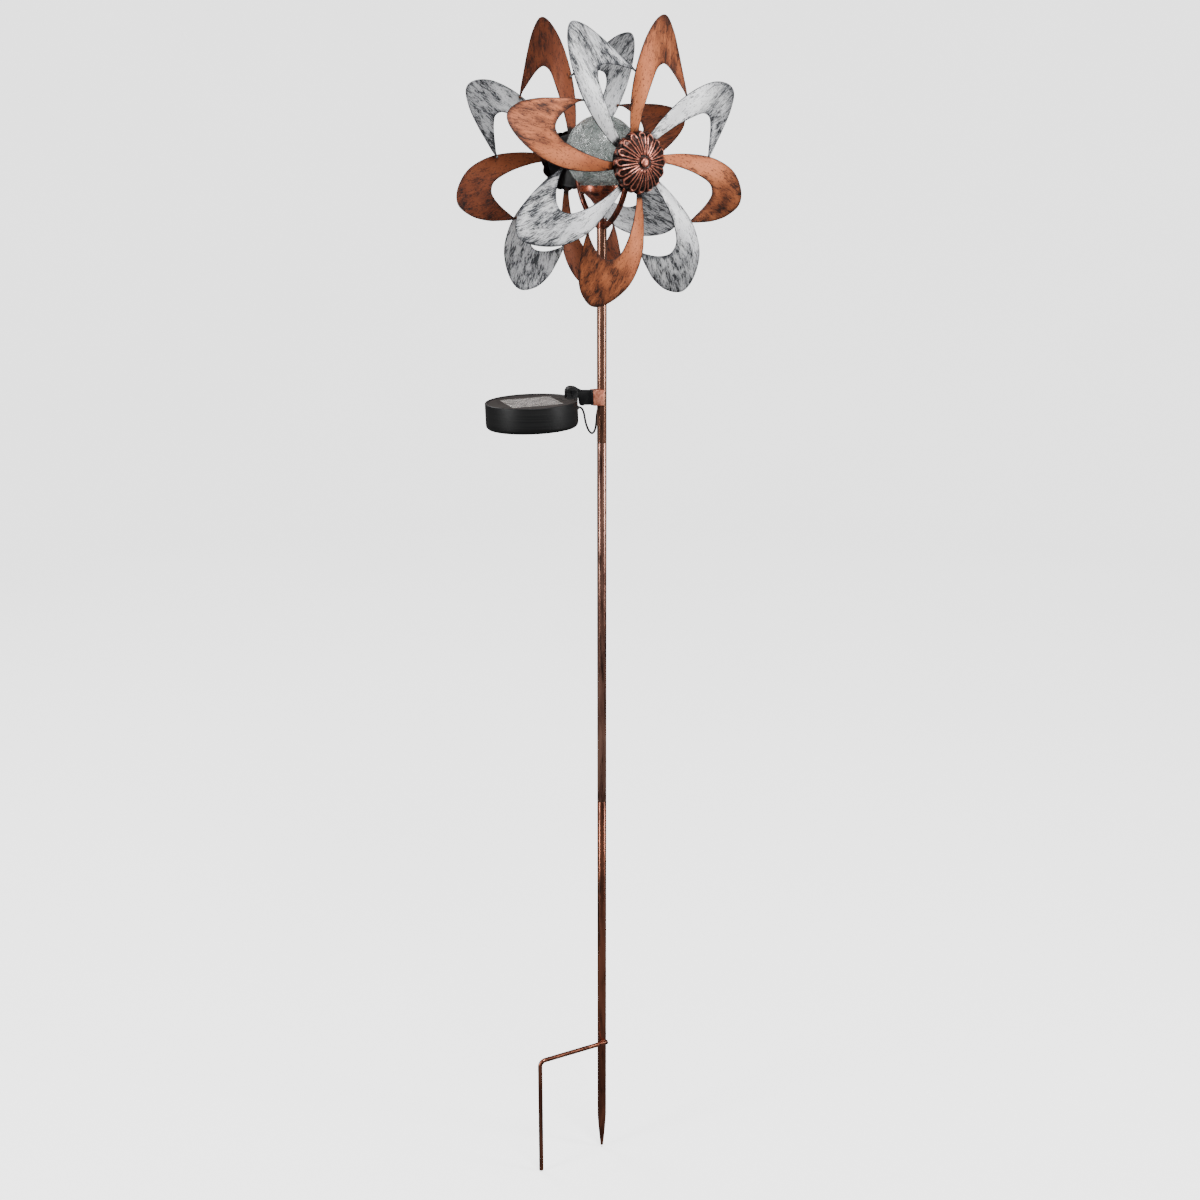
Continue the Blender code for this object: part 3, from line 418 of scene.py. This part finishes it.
def circuit_paint():
    """Green solder mask with paler tracks."""
    paint = Paint("circuit_paint", 0.35)
    tracks = paint.cells(paint.coords("Object", 420))
    cloud = paint.noise(paint.coords("Object", 200), detail=3)
    base = paint.mix(paint.step(cloud, 0.3, 0.7), (0.015, 0.13, 0.05), (0.03, 0.19, 0.08))
    paint.set("Base Color", paint.mix(paint.step(tracks, 0.02, 0.06, 1, 0), base, (0.08, 0.32, 0.15)))
    paint.bump(tracks, 0.05 * MM, 0.3)
    return paint.material


# ---------------------------------------------------------------- meshes

def grid_mesh(name, rows, wrap=False, caps=False, marks=None, uvs=None):
    """A mesh over rows of points. wrap closes each row, and caps closes the first and last row.
    marks are named numbers, one list each in the points' order."""
    width = len(rows[0])
    points = [tuple(point) for row in rows for point in row]
    faces = []
    last = width if wrap else width - 1
    for r in range(len(rows) - 1):
        for c in range(last):
            n = (c + 1) % width
            faces.append((r * width + c, r * width + n, (r + 1) * width + n, (r + 1) * width + c))
    if caps:
        faces.append(tuple(reversed(range(width))))
        faces.append(tuple(range(len(points) - width, len(points))))
    mesh = bpy.data.meshes.new(name)
    mesh.from_pydata(points, [], faces)
    for label, values in (marks or {}).items():
        mesh.attributes.new(label, "FLOAT", "POINT").data.foreach_set("value", values)
    if uvs:
        layer = mesh.uv_layers.new(name="strip")
        flat = [number for loop in mesh.loops for number in uvs[loop.vertex_index]]
        layer.data.foreach_set("uv", flat)
    mesh.shade_smooth()
    mesh.set_sharp_from_angle(angle=math.radians(40))
    return mesh


def turned_mesh(name, profile, segments, place=None, shape=None):
    """A turned mesh from (radius, height) points, running down the outer side. shape may move each
    point, given its radius, angle and height."""
    rows = []
    for radius, height in profile:
        row = []
        for i in range(segments):
            angle = 2 * math.pi * i / segments
            r, z = shape(radius, angle, height) if shape else (radius, height)
            row.append(Vector((r * math.cos(angle), r * math.sin(angle), z)))
        rows.append(row)
    rows.reverse()
    mesh = grid_mesh(name, rows, wrap=True)
    work = bmesh.new()
    work.from_mesh(mesh)
    bmesh.ops.remove_doubles(work, verts=work.verts, dist=0.002 * MM)
    work.to_mesh(mesh)
    work.free()
    mesh.shade_smooth()
    mesh.set_sharp_from_angle(angle=math.radians(40))
    if place is not None:
        mesh.transform(place)
    return mesh


def swept_mesh(name, points, radius, sides=20, side_hint=Vector((1, 0, 0)), radii=None):
    """A round bar along a path, with capped ends."""
    rows = []
    count = len(points)
    side = side_hint
    for i, point in enumerate(points):
        ahead = points[min(i + 1, count - 1)] - points[max(i - 1, 0)]
        ahead.normalize()
        side = (side - ahead * side.dot(ahead)).normalized()
        other = ahead.cross(side)
        size = radii[i] if radii else radius
        rows.append([point + (side * math.cos(a) + other * math.sin(a)) * size
                     for a in (2 * math.pi * c / sides for c in range(sides))])
    return grid_mesh(name, rows, wrap=True, caps=True)


def bead(size, seed, centre):
    """A small weld bead: a lumpy drop of metal."""
    work = bmesh.new()
    bmesh.ops.create_icosphere(work, subdivisions=3, radius=size)
    for vert in work.verts:
        lump = noise.noise(vert.co * (0.9 / size) + Vector((seed, seed, 0)))
        vert.co *= 1 + 0.35 * lump
        vert.co += centre
    mesh = bpy.data.meshes.new("bead")
    work.to_mesh(mesh)
    work.free()
    mesh.shade_smooth()
    return mesh


def joined(meshes):
    """Several meshes as one, with their attributes."""
    work = bmesh.new()
    for mesh in meshes:
        work.from_mesh(mesh)
    whole = meshes[0].copy()
    work.to_mesh(whole)
    work.free()
    return whole


def place_piece(name, mesh, paint, slot, body, *nodes):
    """Link a mesh as a piece on a body, standing for CAD nodes."""
    piece = bpy.data.objects.new(name, mesh)
    bpy.context.scene.collection.objects.link(piece)
    mesh.materials.clear()
    mesh.materials.append(paint)
    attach(piece, body)
    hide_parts(*nodes)


def smooth_route(points, steps):
    """Points along a Catmull-Rom curve through a route."""
    ends = [points[0]] + list(points) + [points[-1]]
    route = []
    for a, b, c, d in zip(ends, ends[1:], ends[2:], ends[3:]):
        for i in range(steps):
            t = i / steps
            route.append(0.5 * (2 * b + (c - a) * t + (2 * a - 5 * b + 4 * c - d) * t ** 2
                                + (3 * b - a - 3 * c + d) * t ** 3))
    route.append(points[-1].copy())
    return route


def arc(radius, start, end, count, centre=(0, 0)):
    """Points along an arc, with angles in degrees."""
    angles = [math.radians(start + (end - start) * i / count) for i in range(count + 1)]
    return [(centre[0] + radius * math.cos(a), centre[1] + radius * math.sin(a)) for a in angles]


def smooth_step(value, low, high):
    """0 below low, 1 above high, and an S curve between."""
    t = min(1.0, max(0.0, (value - low) / (high - low)))
    return t * t * (3 - 2 * t)


# ---------------------------------------------------------------- cable
SOLAR_AZIMUTH = math.radians(165)
CABLE_RADIUS = 1.4 * MM
# The CAD cable's route: along the solar arm, across it away from the front, and up, in mm
CABLE_ROUTE = [
    (38, 0, 931.6), (34, 0, 931.7), (29.9, 0, 931.8), (26.6, 0.4, 929.2), (24.2, 1, 923.5),
    (22.6, 1.7, 916), (20.4, 2.7, 908), (17, 4.2, 900.8), (12.8, 6.4, 896.2),
    (8.6, 9.2, 896.2), (5.3, 11.4, 900.8), (3.7, 12.6, 908.5), (2.9, 12.6, 917),
    (2.2, 11.3, 924.4), (1.5, 8.8, 927.7), (0.9, 5.4, 928),
]


def cable(paint):
    """The free cable from the solar unit's gland down and up again into the pole."""
    outward = Vector((math.cos(SOLAR_AZIMUTH), math.sin(SOLAR_AZIMUTH), 0))
    behind = Vector((math.sin(SOLAR_AZIMUTH), -math.cos(SOLAR_AZIMUTH), 0))
    points = [(outward * x + behind * y + Vector((0, 0, z))) * MM for x, y, z in CABLE_ROUTE]
    route = smooth_route(points, 6)
    hint = outward.cross(Vector((0, 0, 1)))
    mesh = swept_mesh("cable", route, CABLE_RADIUS, 14, hint)
    piece = bpy.data.objects.new("cable", mesh)
    bpy.context.scene.collection.objects.link(piece)
    mesh.materials.append(paint)
    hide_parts("solar_cable")
    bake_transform(piece)


# ---------------------------------------------------------------- petals
SHEET = 0.8 * MM
PETAL_COUNT = 8
PHASES = {"front": math.radians(-3.7), "rear": math.radians(-47.6)}
SIDES = {"front": -1, "rear": 1}
# The petal's two edges from root to tip: across, up and outward from the pole's axis, in mm,
# as in the CAD
OUTER_EDGE = [
    (-19, 10, 75.9), (-35, 19, 75.6), (-63, 42, 79), (-87, 70, 83), (-102, 104, 80.5),
    (-103, 136, 70), (-93, 154, 61), (-71, 153, 57), (-49, 141, 60), (-31, 126, 68),
    (-18, 114, 75.5), (-10, 105, 81.2),
]
INNER_EDGE = [
    (-14, 15, 77), (-31, 30, 80.5), (-48, 55, 83.5), (-59, 77, 83.5), (-64, 93, 81),
    (-61, 104.5, 77.5), (-54, 109, 75), (-44, 110.5, 74), (-34, 110, 74.5), (-24, 108.5, 76),
    (-16.5, 107, 78), (-11, 103.5, 81.2),
]
STRIP_STEPS = 9
STRIP_COLUMNS = 12
CROWN = 1.6 * MM
CAP_EDGE = 38 * MM
# The way a petal is brushed: from its root to its crest
BRUSHED = Vector((-0.52, 0.855)).normalized()


def rotor_frame(label):
    """The frame of a rotor: +Z outward along its axis, +Y up."""
    outward = Vector((0, SIDES[label], 0))
    up = Vector((0, 0, 1))
    turn = Matrix((up.cross(outward), up, outward)).transposed().to_4x4()
    return Matrix.Translation(HUB) @ turn


def petal_marks(marks, part, travel, share, gap, reach, face, number, sootiness):
    """Add one point's numbers for the paint. part is how far along the petal it is, from 0 to 1,
    share is how far across, and gap is its distance from the nearer edge."""
    wobble = noise.noise(Vector((travel * 60 + number, share * 3, 0)))
    crest = smooth_step(part, 0.34, 0.62)
    near_edge = 1 - smooth_step(gap, 0, 7 * MM)
    # Painted shade: the crest term darkens the crest and hook, which curve back; the edge and noise
    # terms are wear.
    wear_and_shade = 0.18 + 0.42 * crest + 0.3 * near_edge + 0.22 * wobble
    wear_and_shade += 0.05 if face < 0 else 0
    root = (1 - smooth_step(reach, CAP_EDGE, CAP_EDGE + 13 * MM)) * sootiness
    tip = smooth_step(part, 0.955, 1.0)
    marks["wear_and_shade"].append(wear_and_shade)
    marks["edge"].append(1 - smooth_step(gap, 0.2 * MM, 1.3 * MM))
    marks["soot"].append(max(root, 0.8 * tip))
    marks["back"].append(0.75 if face < 0 else 0.0)


def petal_mesh(number):
    """One petal in its rotor's frame before it is turned to its place: a crowned sheet with eased
    edges, marks for the paint, and a weld bead at its hook."""
    outer = smooth_route([Vector(p) * MM for p in OUTER_EDGE], STRIP_STEPS)
    inner = smooth_route([Vector(p) * MM for p in INNER_EDGE], STRIP_STEPS)
    count = len(outer)
    middle = [(a + b) / 2 for a, b in zip(outer, inner)]
    travelled = [0.0]
    for a, b in zip(middle, middle[1:]):
        travelled.append(travelled[-1] + (b - a).length)
    sootiness = 0.75 + 0.6 * noise.noise(Vector((number * 1.7, 0.3, 0)))
    rows = []
    marks = {"wear_and_shade": [], "edge": [], "soot": [], "back": []}
    uvs = []
    shares = [0.0, 0.02] + [i / STRIP_COLUMNS for i in range(1, STRIP_COLUMNS)] + [0.98, 1.0]
    ring = [(s, 1) for s in shares] + [(s, -1) for s in reversed(shares)]
    for i in range(count):
        forward = (middle[min(i + 1, count - 1)] - middle[max(i - 1, 0)]).normalized()
        across = inner[i] - outer[i]
        width = across.length
        up = across.cross(forward).normalized()
        if up.z < 0:
            up = -up
        part = travelled[i] / travelled[-1]
        crown = CROWN * math.sin(math.pi * part) ** 0.7 * min(1.0, width / (22 * MM))
        row = []
        for s, face in ring:
            rim = s in (0.0, 1.0)
            lift = crown * 4 * s * (1 - s) + (0.12 if rim else 0.5) * SHEET * face
            point = outer[i] + across * s + up * lift
            row.append(point)
            gap = min(s, 1 - s) * width
            reach = math.hypot(point.x, point.y)
            petal_marks(marks, part, travelled[i], s, gap, reach, face, number, sootiness)
            uvs.append((BRUSHED.dot(point.xy) + number, BRUSHED.cross(point.xy) + face))
        rows.append(row)
    mesh = grid_mesh("petal", rows, wrap=True, caps=True, marks=marks, uvs=uvs)
    tip = (outer[-1] + inner[-1]) / 2
    whole = joined([mesh, bead(1.7 * MM, number, tip)])
    for vert in range(len(mesh.vertices), len(whole.vertices)):
        whole.attributes["soot"].data[vert].value = 0.7
    return whole


def petals(label, paints):
    """Eight petals, two finishes in turn, clockwise from the top one."""
    place = rotor_frame(label)
    for index in range(PETAL_COUNT):
        turn = Matrix.Rotation(PHASES[label] - 2 * math.pi * index / PETAL_COUNT, 4, "Z")
        mesh = petal_mesh(index * 2.37 + (20 if label == "rear" else 0))
        mesh.transform(place @ turn)
        node = f"{label}_petal_{index + 1}"
        finish = "silver" if (index % 2 == 0) == (label == "front") else "copper"
        place_piece(f"{label}_leaf_{index + 1}", mesh, paints[finish], f"petal_{finish}",
                    f"{label}_rotor", node)


# ---------------------------------------------------------------- hubs
LOOPS = 16
RIDGE = 0.9 * MM


def ridge_height(radius, angle):
    """How high the rosette's ridges stand at a place on the cap, from 0 to 1. Each of the sixteen
    loops is two ridges that start together near the nub and meet in a round end at the rim."""
    pitch = 2 * math.pi / LOOPS
    local = (angle + pitch / 2) % pitch - pitch / 2
    x = abs(radius * math.sin(local))
    y = radius * math.cos(local)
    start = 7.5 * MM
    end = 31.5 * MM
    widest = 3.9 * MM
    if y < start:
        return 0.0
    if y < end:
        half = widest * ((y - start) / (end - start)) ** 0.85
        gap = abs(x - half)
    else:
        gap = abs(math.hypot(x, y - end) - widest)
    line = math.exp(-(gap / (0.95 * MM)) ** 2)
    return line * smooth_step(y, start, start + 3 * MM)


def rosette_mesh(label):
    """The domed cap: looped ridges, a nub in a groove, and a scalloped skirt."""
    nub = [(0, 97.8), (2, 97.7), (3.4, 97.5), (4.6, 97.0), (5.2, 96.4), (5.6, 94.4), (6.6, 94.2)]
    ring_radii = [7.5 + 0.5 * i for i in range(59)]
    outline = [(6.6, 94.9), (12, 94.8), (22, 93.2), (30, 90.6), (35.5, 87.4), (37.6, 84.6)]

    def dome_height(radius):
        """The height of the dome's outline at a radius."""
        for (r1, z1), (r2, z2) in zip(outline, outline[1:]):
            if radius <= r2:
                t = (radius - r1) / (r2 - r1)
                return z1 + (z2 - z1) * t
        return outline[-1][1]

    skin = nub + [(r, dome_height(r)) for r in ring_radii] + [(37.2, 84.2), (37.7, 82.4)]
    hollow = [(36.9, 82.2), (35.6, 85.6), (29.4, 89.5), (20, 92.2), (8, 93.4), (0.4, 93.6)]
    profile = skin + hollow
    outer_count = len(skin)
    rows = []
    ridges = []
    segments = LOOPS * 22
    for number, (r, z) in enumerate(profile):
        row = []
        for i in range(segments):
            angle = 2 * math.pi * i / segments
            scallop = abs(math.cos(angle * LOOPS / 2)) ** 0.8
            shrink = 1 - 0.055 * (1 - scallop) * smooth_step(r, 29, 36.5)
            radius = r * MM * shrink
            line = ridge_height(r * MM, angle) if number < outer_count else 0
            valley = (1 - scallop) * smooth_step(r, 20, 34) * 0.9 if number < outer_count else 0
            height = (z - valley) * MM + (line - 0.35) * RIDGE * smooth_step(r, 6.6, 9)
            if number >= outer_count or r < 6.6:
                height = z * MM
            skirt = smooth_step(r, 33, 37.5) * scallop * 0.55 if number < outer_count else 0
            row.append(Vector((radius * math.cos(angle), radius * math.sin(angle), height)))
            ridges.append(max(line, skirt, 0.85 if r < 5.3 and number < 6 else 0))
        rows.append(row)
    flat = []
    for k in range(len(rows) - 1, -1, -1):
        flat += ridges[k * segments:(k + 1) * segments]
    rows.reverse()
    mesh = grid_mesh("rosette", rows, wrap=True, caps=True, marks={"ridge": flat})
    mesh.transform(rotor_frame(label))
    return mesh


def hubs(paints):
    """Both rosette caps and the black discs behind them."""
    for label in SIDES:
        body = f"{label}_rotor"
        place_piece(f"{label}_rosette", rosette_mesh(label), paints["rosette"], "rosette_bronze",
                    body, f"{label}_rosette_cap")
        disc = [
            (8.4, 75), (28, 75), (31.6, 74.9), (33, 74.7), (33.4, 74.4), (33, 74), (31.6, 73.8),
            (8.4, 73.8), (8.4, 75),
        ]
        profile = [(r * MM, z * MM) for r, z in disc]
        mesh = turned_mesh("disc", profile, 96, rotor_frame(label))
        place_piece(f"{label}_disc", mesh, paints["black_steel"], "black_steel", body,
                    f"{label}_hub_disc")


# ---------------------------------------------------------------- stand
POLE_RADIUS = 6.4 * MM
POLE_BORE = 5.4 * MM
END_EASE = 0.7 * MM
EASED_RADIUS = POLE_RADIUS - 0.5 * MM
TUBE_SIDES = 64
POINT_LENGTH = 56 * MM
POINT_RADIUS = 2 * MM
POINT_STEPS = 14


def pole_sections(paints):
    """The three tubes, each with eased ends, and the stake's drawn point."""
    for name, look in (("middle_pole", "middle"), ("top_pole", "top")):
        low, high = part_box(name)
        profile = [
            (POLE_BORE, high.z), (EASED_RADIUS, high.z), (POLE_RADIUS - 0.12 * MM, high.z - 0.2 * MM),
            (POLE_RADIUS, high.z - END_EASE), (POLE_RADIUS, low.z + END_EASE),
            (POLE_RADIUS - 0.12 * MM, low.z + 0.2 * MM), (EASED_RADIUS, low.z),
            (POLE_BORE, low.z), (POLE_BORE, high.z),
        ]
        mesh = turned_mesh(name, profile, TUBE_SIDES)
        place_piece(f"{name}_tube", mesh, paints[look], "pole_bronze", "stand", name)
    low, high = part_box("stake_section")
    tip = low.z
    start = tip + POINT_LENGTH
    profile = [(POLE_BORE, high.z), (EASED_RADIUS, high.z), (POLE_RADIUS, high.z - END_EASE)]
    profile += [(POLE_RADIUS, start)]
    for i in range(1, POINT_STEPS + 1):
        share = i / POINT_STEPS
        radius = POLE_RADIUS + (POINT_RADIUS - POLE_RADIUS) * share ** 1.3
        profile.append((radius, start - share * (start - tip - 1.3 * MM)))
    profile += [(1.6 * MM, tip + 0.6 * MM), (0.9 * MM, tip + 0.1 * MM), (0, tip)]
    mesh = turned_mesh("stake", profile, TUBE_SIDES)
    place_piece("stake_tube", mesh, paints["pole"], "pole_bronze", "stand", "stake_section")


PRONG_AZIMUTH = math.radians(175.3)
WELD_BEADS = 9


def prong_bar(paint):
    """The bent foot prong with its weld on the stake's front."""
    radius = 3.2 * MM
    across = Vector((math.cos(PRONG_AZIMUTH), math.sin(PRONG_AZIMUTH), 0))
    front = Vector((-across.y, across.x, 0)) * (POLE_RADIUS + radius + 0.3 * MM)
    reach = 106 * MM
    bend = 8 * MM
    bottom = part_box("step_prong")[0].z
    corner = arc(bend, 90, 0, 14, (reach - bend, -radius - bend))
    path = [(-3.6 * MM, -radius), (0, -radius), (30 * MM, -radius), (70 * MM, -radius)] + corner
    path += [(reach, z) for z in (-60 * MM, -120 * MM, bottom + 1.2 * MM, bottom + 0.4 * MM, bottom)]
    points = [front + across * x + Vector((0, 0, z)) for x, z in path]
    points.insert(0, front + across * (-4 * MM) + Vector((0, 0, -radius)))
    radii = [radius * 0.82, radius] + [radius] * (len(points) - 4) + [radius * 0.93, radius * 0.72]
    hint = front.normalized()
    bar = swept_mesh("prong", points, radius, 24, hint, radii)
    welds = []
    for k in range(WELD_BEADS):
        angle = 2 * math.pi * k / WELD_BEADS
        along = across * (3.4 * MM * math.cos(angle))
        rise = Vector((0, 0, -radius + 2.4 * MM * math.sin(angle)))
        centre = front * 0.78 + along + rise
        welds.append(bead(1.5 * MM, 3.1 * k, centre))
    place_piece("prong_bar", joined([bar] + welds), paint, "pole_bronze", "stand", "step_prong")


def fork(paint):
    """The two bent arms with their bosses, the plug they are welded to, and the weld beads."""
    bend = 86 * MM
    centre = -27 * MM
    low_angle = math.radians(65.8)
    high_angle = math.radians(3.2)
    for label, side in SIDES.items():
        points = []
        steps = 40
        for i in range(steps + 1):
            angle = low_angle + (high_angle - low_angle) * i / steps
            points.append(Vector((0, side * (centre + bend * math.cos(angle)),
                                  HUB_HEIGHT - bend * math.sin(angle))))
        bar = swept_mesh("arm", points, 3.7 * MM, 24)
        boss = [
            (3.4, 70.6), (6.4, 70.6), (7, 70), (7, 53.1), (6.4, 52.5), (3.4, 52.5), (3.4, 70.6),
        ]
        shell = turned_mesh("boss", [(r * MM, z * MM) for r, z in boss], 48, rotor_frame(label))
        welds = []
        for k in range(4):
            beside = Vector((3.4 * MM * math.cos(k), 0, -1.5 * MM))
            welds.append(bead(1.3 * MM, k * 1.7, points[-3] + beside))
        place_piece(f"{label}_arm", joined([bar, shell] + welds), paint, "dark_copper", "stand",
                    f"{label}_fork_arm")
    low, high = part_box("fork_plug")
    shoulder = 1159.3 * MM
    bore = 2.2 * MM
    spigot = 5.2 * MM
    plug = [
        (bore, high.z), (POLE_RADIUS - 1.2 * MM, high.z),
        (POLE_RADIUS - 0.3 * MM, high.z - 0.4 * MM), (POLE_RADIUS, high.z - 1.2 * MM),
        (POLE_RADIUS, shoulder), (spigot, shoulder), (spigot, low.z), (bore, low.z), (bore, high.z),
    ]
    place_piece("plug", turned_mesh("plug", plug, TUBE_SIDES), paint, "dark_copper", "stand",
                "fork_plug")


def ball_cup(paint):
    """The turned cup with its rolled band and its stem."""
    bowl = [
        (2.2, -34), (27.4, -34), (27.9, -33.4), (27.9, -28.4), (28.4, -28), (30.3, -28),
        (30.8, -28.3), (31, -28.9), (31, -35.1), (30.8, -35.7), (30.3, -36), (26, -36),
        (25.2, -36.3), (24.5, -37.1),
    ]
    cone_top, cone_end, cone_steps = bowl[-1], (4.4, -55), 10
    cone = []
    for i in range(1, cone_steps + 1):
        t = i / cone_steps
        cone.append((cone_top[0] + (cone_end[0] - cone_top[0]) * t ** 0.94,
                     cone_top[1] + (cone_end[1] - cone_top[1]) * t))
    stem = [(3.6, -56.2), (3.4, -57.5), (3.4, -68.7), (2.2, -68.7), (2.2, -34)]
    profile = [(r * MM, HUB_HEIGHT + z * MM) for r, z in bowl + cone + stem]
    place_piece("cup", turned_mesh("cup", profile, 96), paint, "dark_copper", "stand",
                "ball_cup")


def ball(paint):
    """The crackled glass ball with its open neck, lightly dimpled all over."""
    radius = 46.5
    wall = 3
    middle = 10.5
    neck = 27.5
    bore = 24.5
    cut = -90 + math.degrees(math.asin(neck / radius))
    cut_in = -90 + math.degrees(math.asin(bore / (radius - wall)))
    outside = arc(radius, 90, cut, 60, (0, middle))
    outside[0] = (0.05, middle + radius)
    inside = arc(radius - wall, cut_in, 90, 50, (0, middle))
    inside[-1] = (0.05, middle + radius - wall)
    lip = [(neck, -30), (neck, -33.2), (neck - 0.6, -33.6), (bore + 0.6, -33.6), (bore, -33.2)]
    profile = [(r * MM, z * MM) for r, z in outside + lip + inside]

    def dimpled(r, angle, z):
        """A point of the wall, moved inward by two sizes of dent."""
        place = Vector((r * math.cos(angle), r * math.sin(angle), z)) * 55
        dent = 0.5 * MM * (0.5 + 0.5 * noise.noise(place))
        dent += 0.25 * MM * (0.5 + 0.5 * noise.noise(place * 2.7))
        return max(0.02 * MM, r - dent), z

    mesh = turned_mesh("ball", profile, 128, Matrix.Translation(HUB), dimpled)
    place_piece("crackle_ball", mesh, paint, "clear_glass", "stand", "glass_ball")


# ---------------------------------------------------------------- moulded and plain pieces

def softened(name, width, paint, slot, body):
    """A CAD part with its corners eased and its round walls smooth."""
    source = frame["nodes"][name]
    work = bmesh.new()
    work.from_mesh(source.data)
    bmesh.ops.remove_doubles(work, verts=work.verts, dist=0.001 * MM)
    bmesh.ops.dissolve_limit(work, angle_limit=math.radians(1), verts=work.verts, edges=work.edges)
    corners = [edge for edge in work.edges
               if len(edge.link_faces) == 2 and edge.calc_face_angle(0) > math.radians(32)]
    bmesh.ops.bevel(work, geom=corners, offset=width, segments=2, profile=0.5, affect="EDGES",
                    clamp_overlap=True)
    mesh = bpy.data.meshes.new(name)
    work.to_mesh(mesh)
    work.free()
    mesh.transform(source.matrix_world)
    mesh.shade_smooth()
    mesh.set_sharp_from_angle(angle=math.radians(32))
    place_piece(f"{name}_moulding", mesh, paint, slot, body, name)


def moulded_pieces(paints):
    """The solar unit's black mouldings and the copper strap, with eased corners."""
    softened("solar_housing", 0.5 * MM, paints["housing"], "black_plastic", "solar_head")
    softened("base_cover", 0.2 * MM, paints["black_plastic"], "black_plastic", "solar_head")
    softened("solar_arm", 0.5 * MM, paints["black_plastic"], "black_plastic", "stand")
    softened("pole_strap", 0.25 * MM, paints["strap"], "strap_copper", "stand")


def finish_nodes(paints):
    """Better materials for the CAD nodes that keep their own shape."""
    looks = {
        "zinc": paints["zinc"], "bronze": paints["bronze"], "black_steel": paints["black_steel"],
        "black_plastic": paints["black_plastic"], "clear_plastic": paints["clear_plastic"],
        "white_plastic": paints["white_plastic"], "rubber": paints["rubber"],
        "silicon_cell": paints["cell"], "circuit_green": paints["circuit"],
        "cell_wrap": paints["cell_wrap"], "strap_copper": paints["strap"],
        "pole_bronze": paints["pole"], "dark_copper": paints["dark_copper"],
        "clear_glass": paints["glass"], "petal_copper": paints["copper"],
        "petal_silver": paints["silver"], "rosette_bronze": paints["rosette"],
    }
    for entry in frame["record"]["subparts"]:
        node = frame["nodes"][entry["node"]]
        for slot in node.material_slots:
            slot.material = looks[entry["material_slot"]]


def window_plastic():
    """The solar window: smoky clear plastic with a fine haze."""
    paint = Paint("window_plastic", 0.14)
    haze = paint.noise(paint.coords("Object", 60), detail=4)
    colour = paint.mix(paint.step(haze, 0.3, 0.7), (0.75, 0.70, 0.67), (0.62, 0.57, 0.54))
    paint.set("Base Color", colour)
    paint.set("Transmission Weight", 0.9)
    paint.set("IOR", 1.49)
    paint.set("Roughness", paint.step(haze, 0.3, 0.7, 0.1, 0.22))
    return paint.material


def main():
    camera()
    studio()
    paints = {
        "copper": petal_paint(
            "copper_petal", light=(0.66, 0.21, 0.085), shade=(0.46, 0.13, 0.05),
            crest_shade_and_wear=(0.11, 0.032, 0.017), flake=(0.022, 0.014, 0.013), back=(0.15, 0.038, 0.018),
            stroke_start=1.0, speck_start=0.565),
        "silver": petal_paint(
            "silver_petal", light=(1.0, 1.0, 1.0), shade=(0.9, 0.9, 0.92),
            crest_shade_and_wear=(0.42, 0.425, 0.445), flake=(0.01, 0.012, 0.016), back=(0.42, 0.425, 0.44),
            stroke_start=0.945, speck_start=0.59),
        "pole": pole_paint("stake_paint", (0.42, 0.15, 0.09), (0.19, 0.07, 0.045)),
        "middle": pole_paint("middle_pole_paint", (0.62, 0.32, 0.235), (0.34, 0.16, 0.12)),
        "top": pole_paint("top_pole_paint", (0.56, 0.27, 0.18), (0.28, 0.125, 0.08)),
        "dark_copper": dark_copper_paint(),
        "cup": dark_copper_paint("cup_paint", (0.52, 0.13, 0.065), (0.05, 0.018, 0.013)),
        "rosette": rosette_paint(),
        "strap": strap_paint(),
        "glass": crackle_glass(),
        "housing": housing_plastic(),
        "black_plastic": moulded_plastic("black_plastic", (0.005, 0.005, 0.0055)),
        "white_plastic": moulded_plastic("white_plastic", (0.55, 0.55, 0.53)),
        "cell_wrap": moulded_plastic("cell_wrap", (0.06, 0.25, 0.11), 0.2, 0.35),
        "clear_plastic": window_plastic(),
        "rubber": rubber_skin(),
        "zinc": plated("zinc_plate", (0.60, 0.61, 0.63), (0.42, 0.43, 0.45)),
        "bronze": plated("sintered_bronze", (0.52, 0.36, 0.15), (0.33, 0.22, 0.10)),
        "black_steel": moulded_plastic("black_enamel", (0.006, 0.006, 0.007), 0.3, 0.35),
        "cell": solar_glass(),
        "circuit": circuit_paint(),
    }
    finish_nodes(paints)
    cable(paints["rubber"])
    for label in SIDES:
        petals(label, paints)
    hubs(paints)
    pole_sections(paints)
    prong_bar(paints["pole"])
    fork(paints["dark_copper"])
    ball_cup(paints["cup"])
    ball(paints["glass"])
    moulded_pieces(paints)


main()
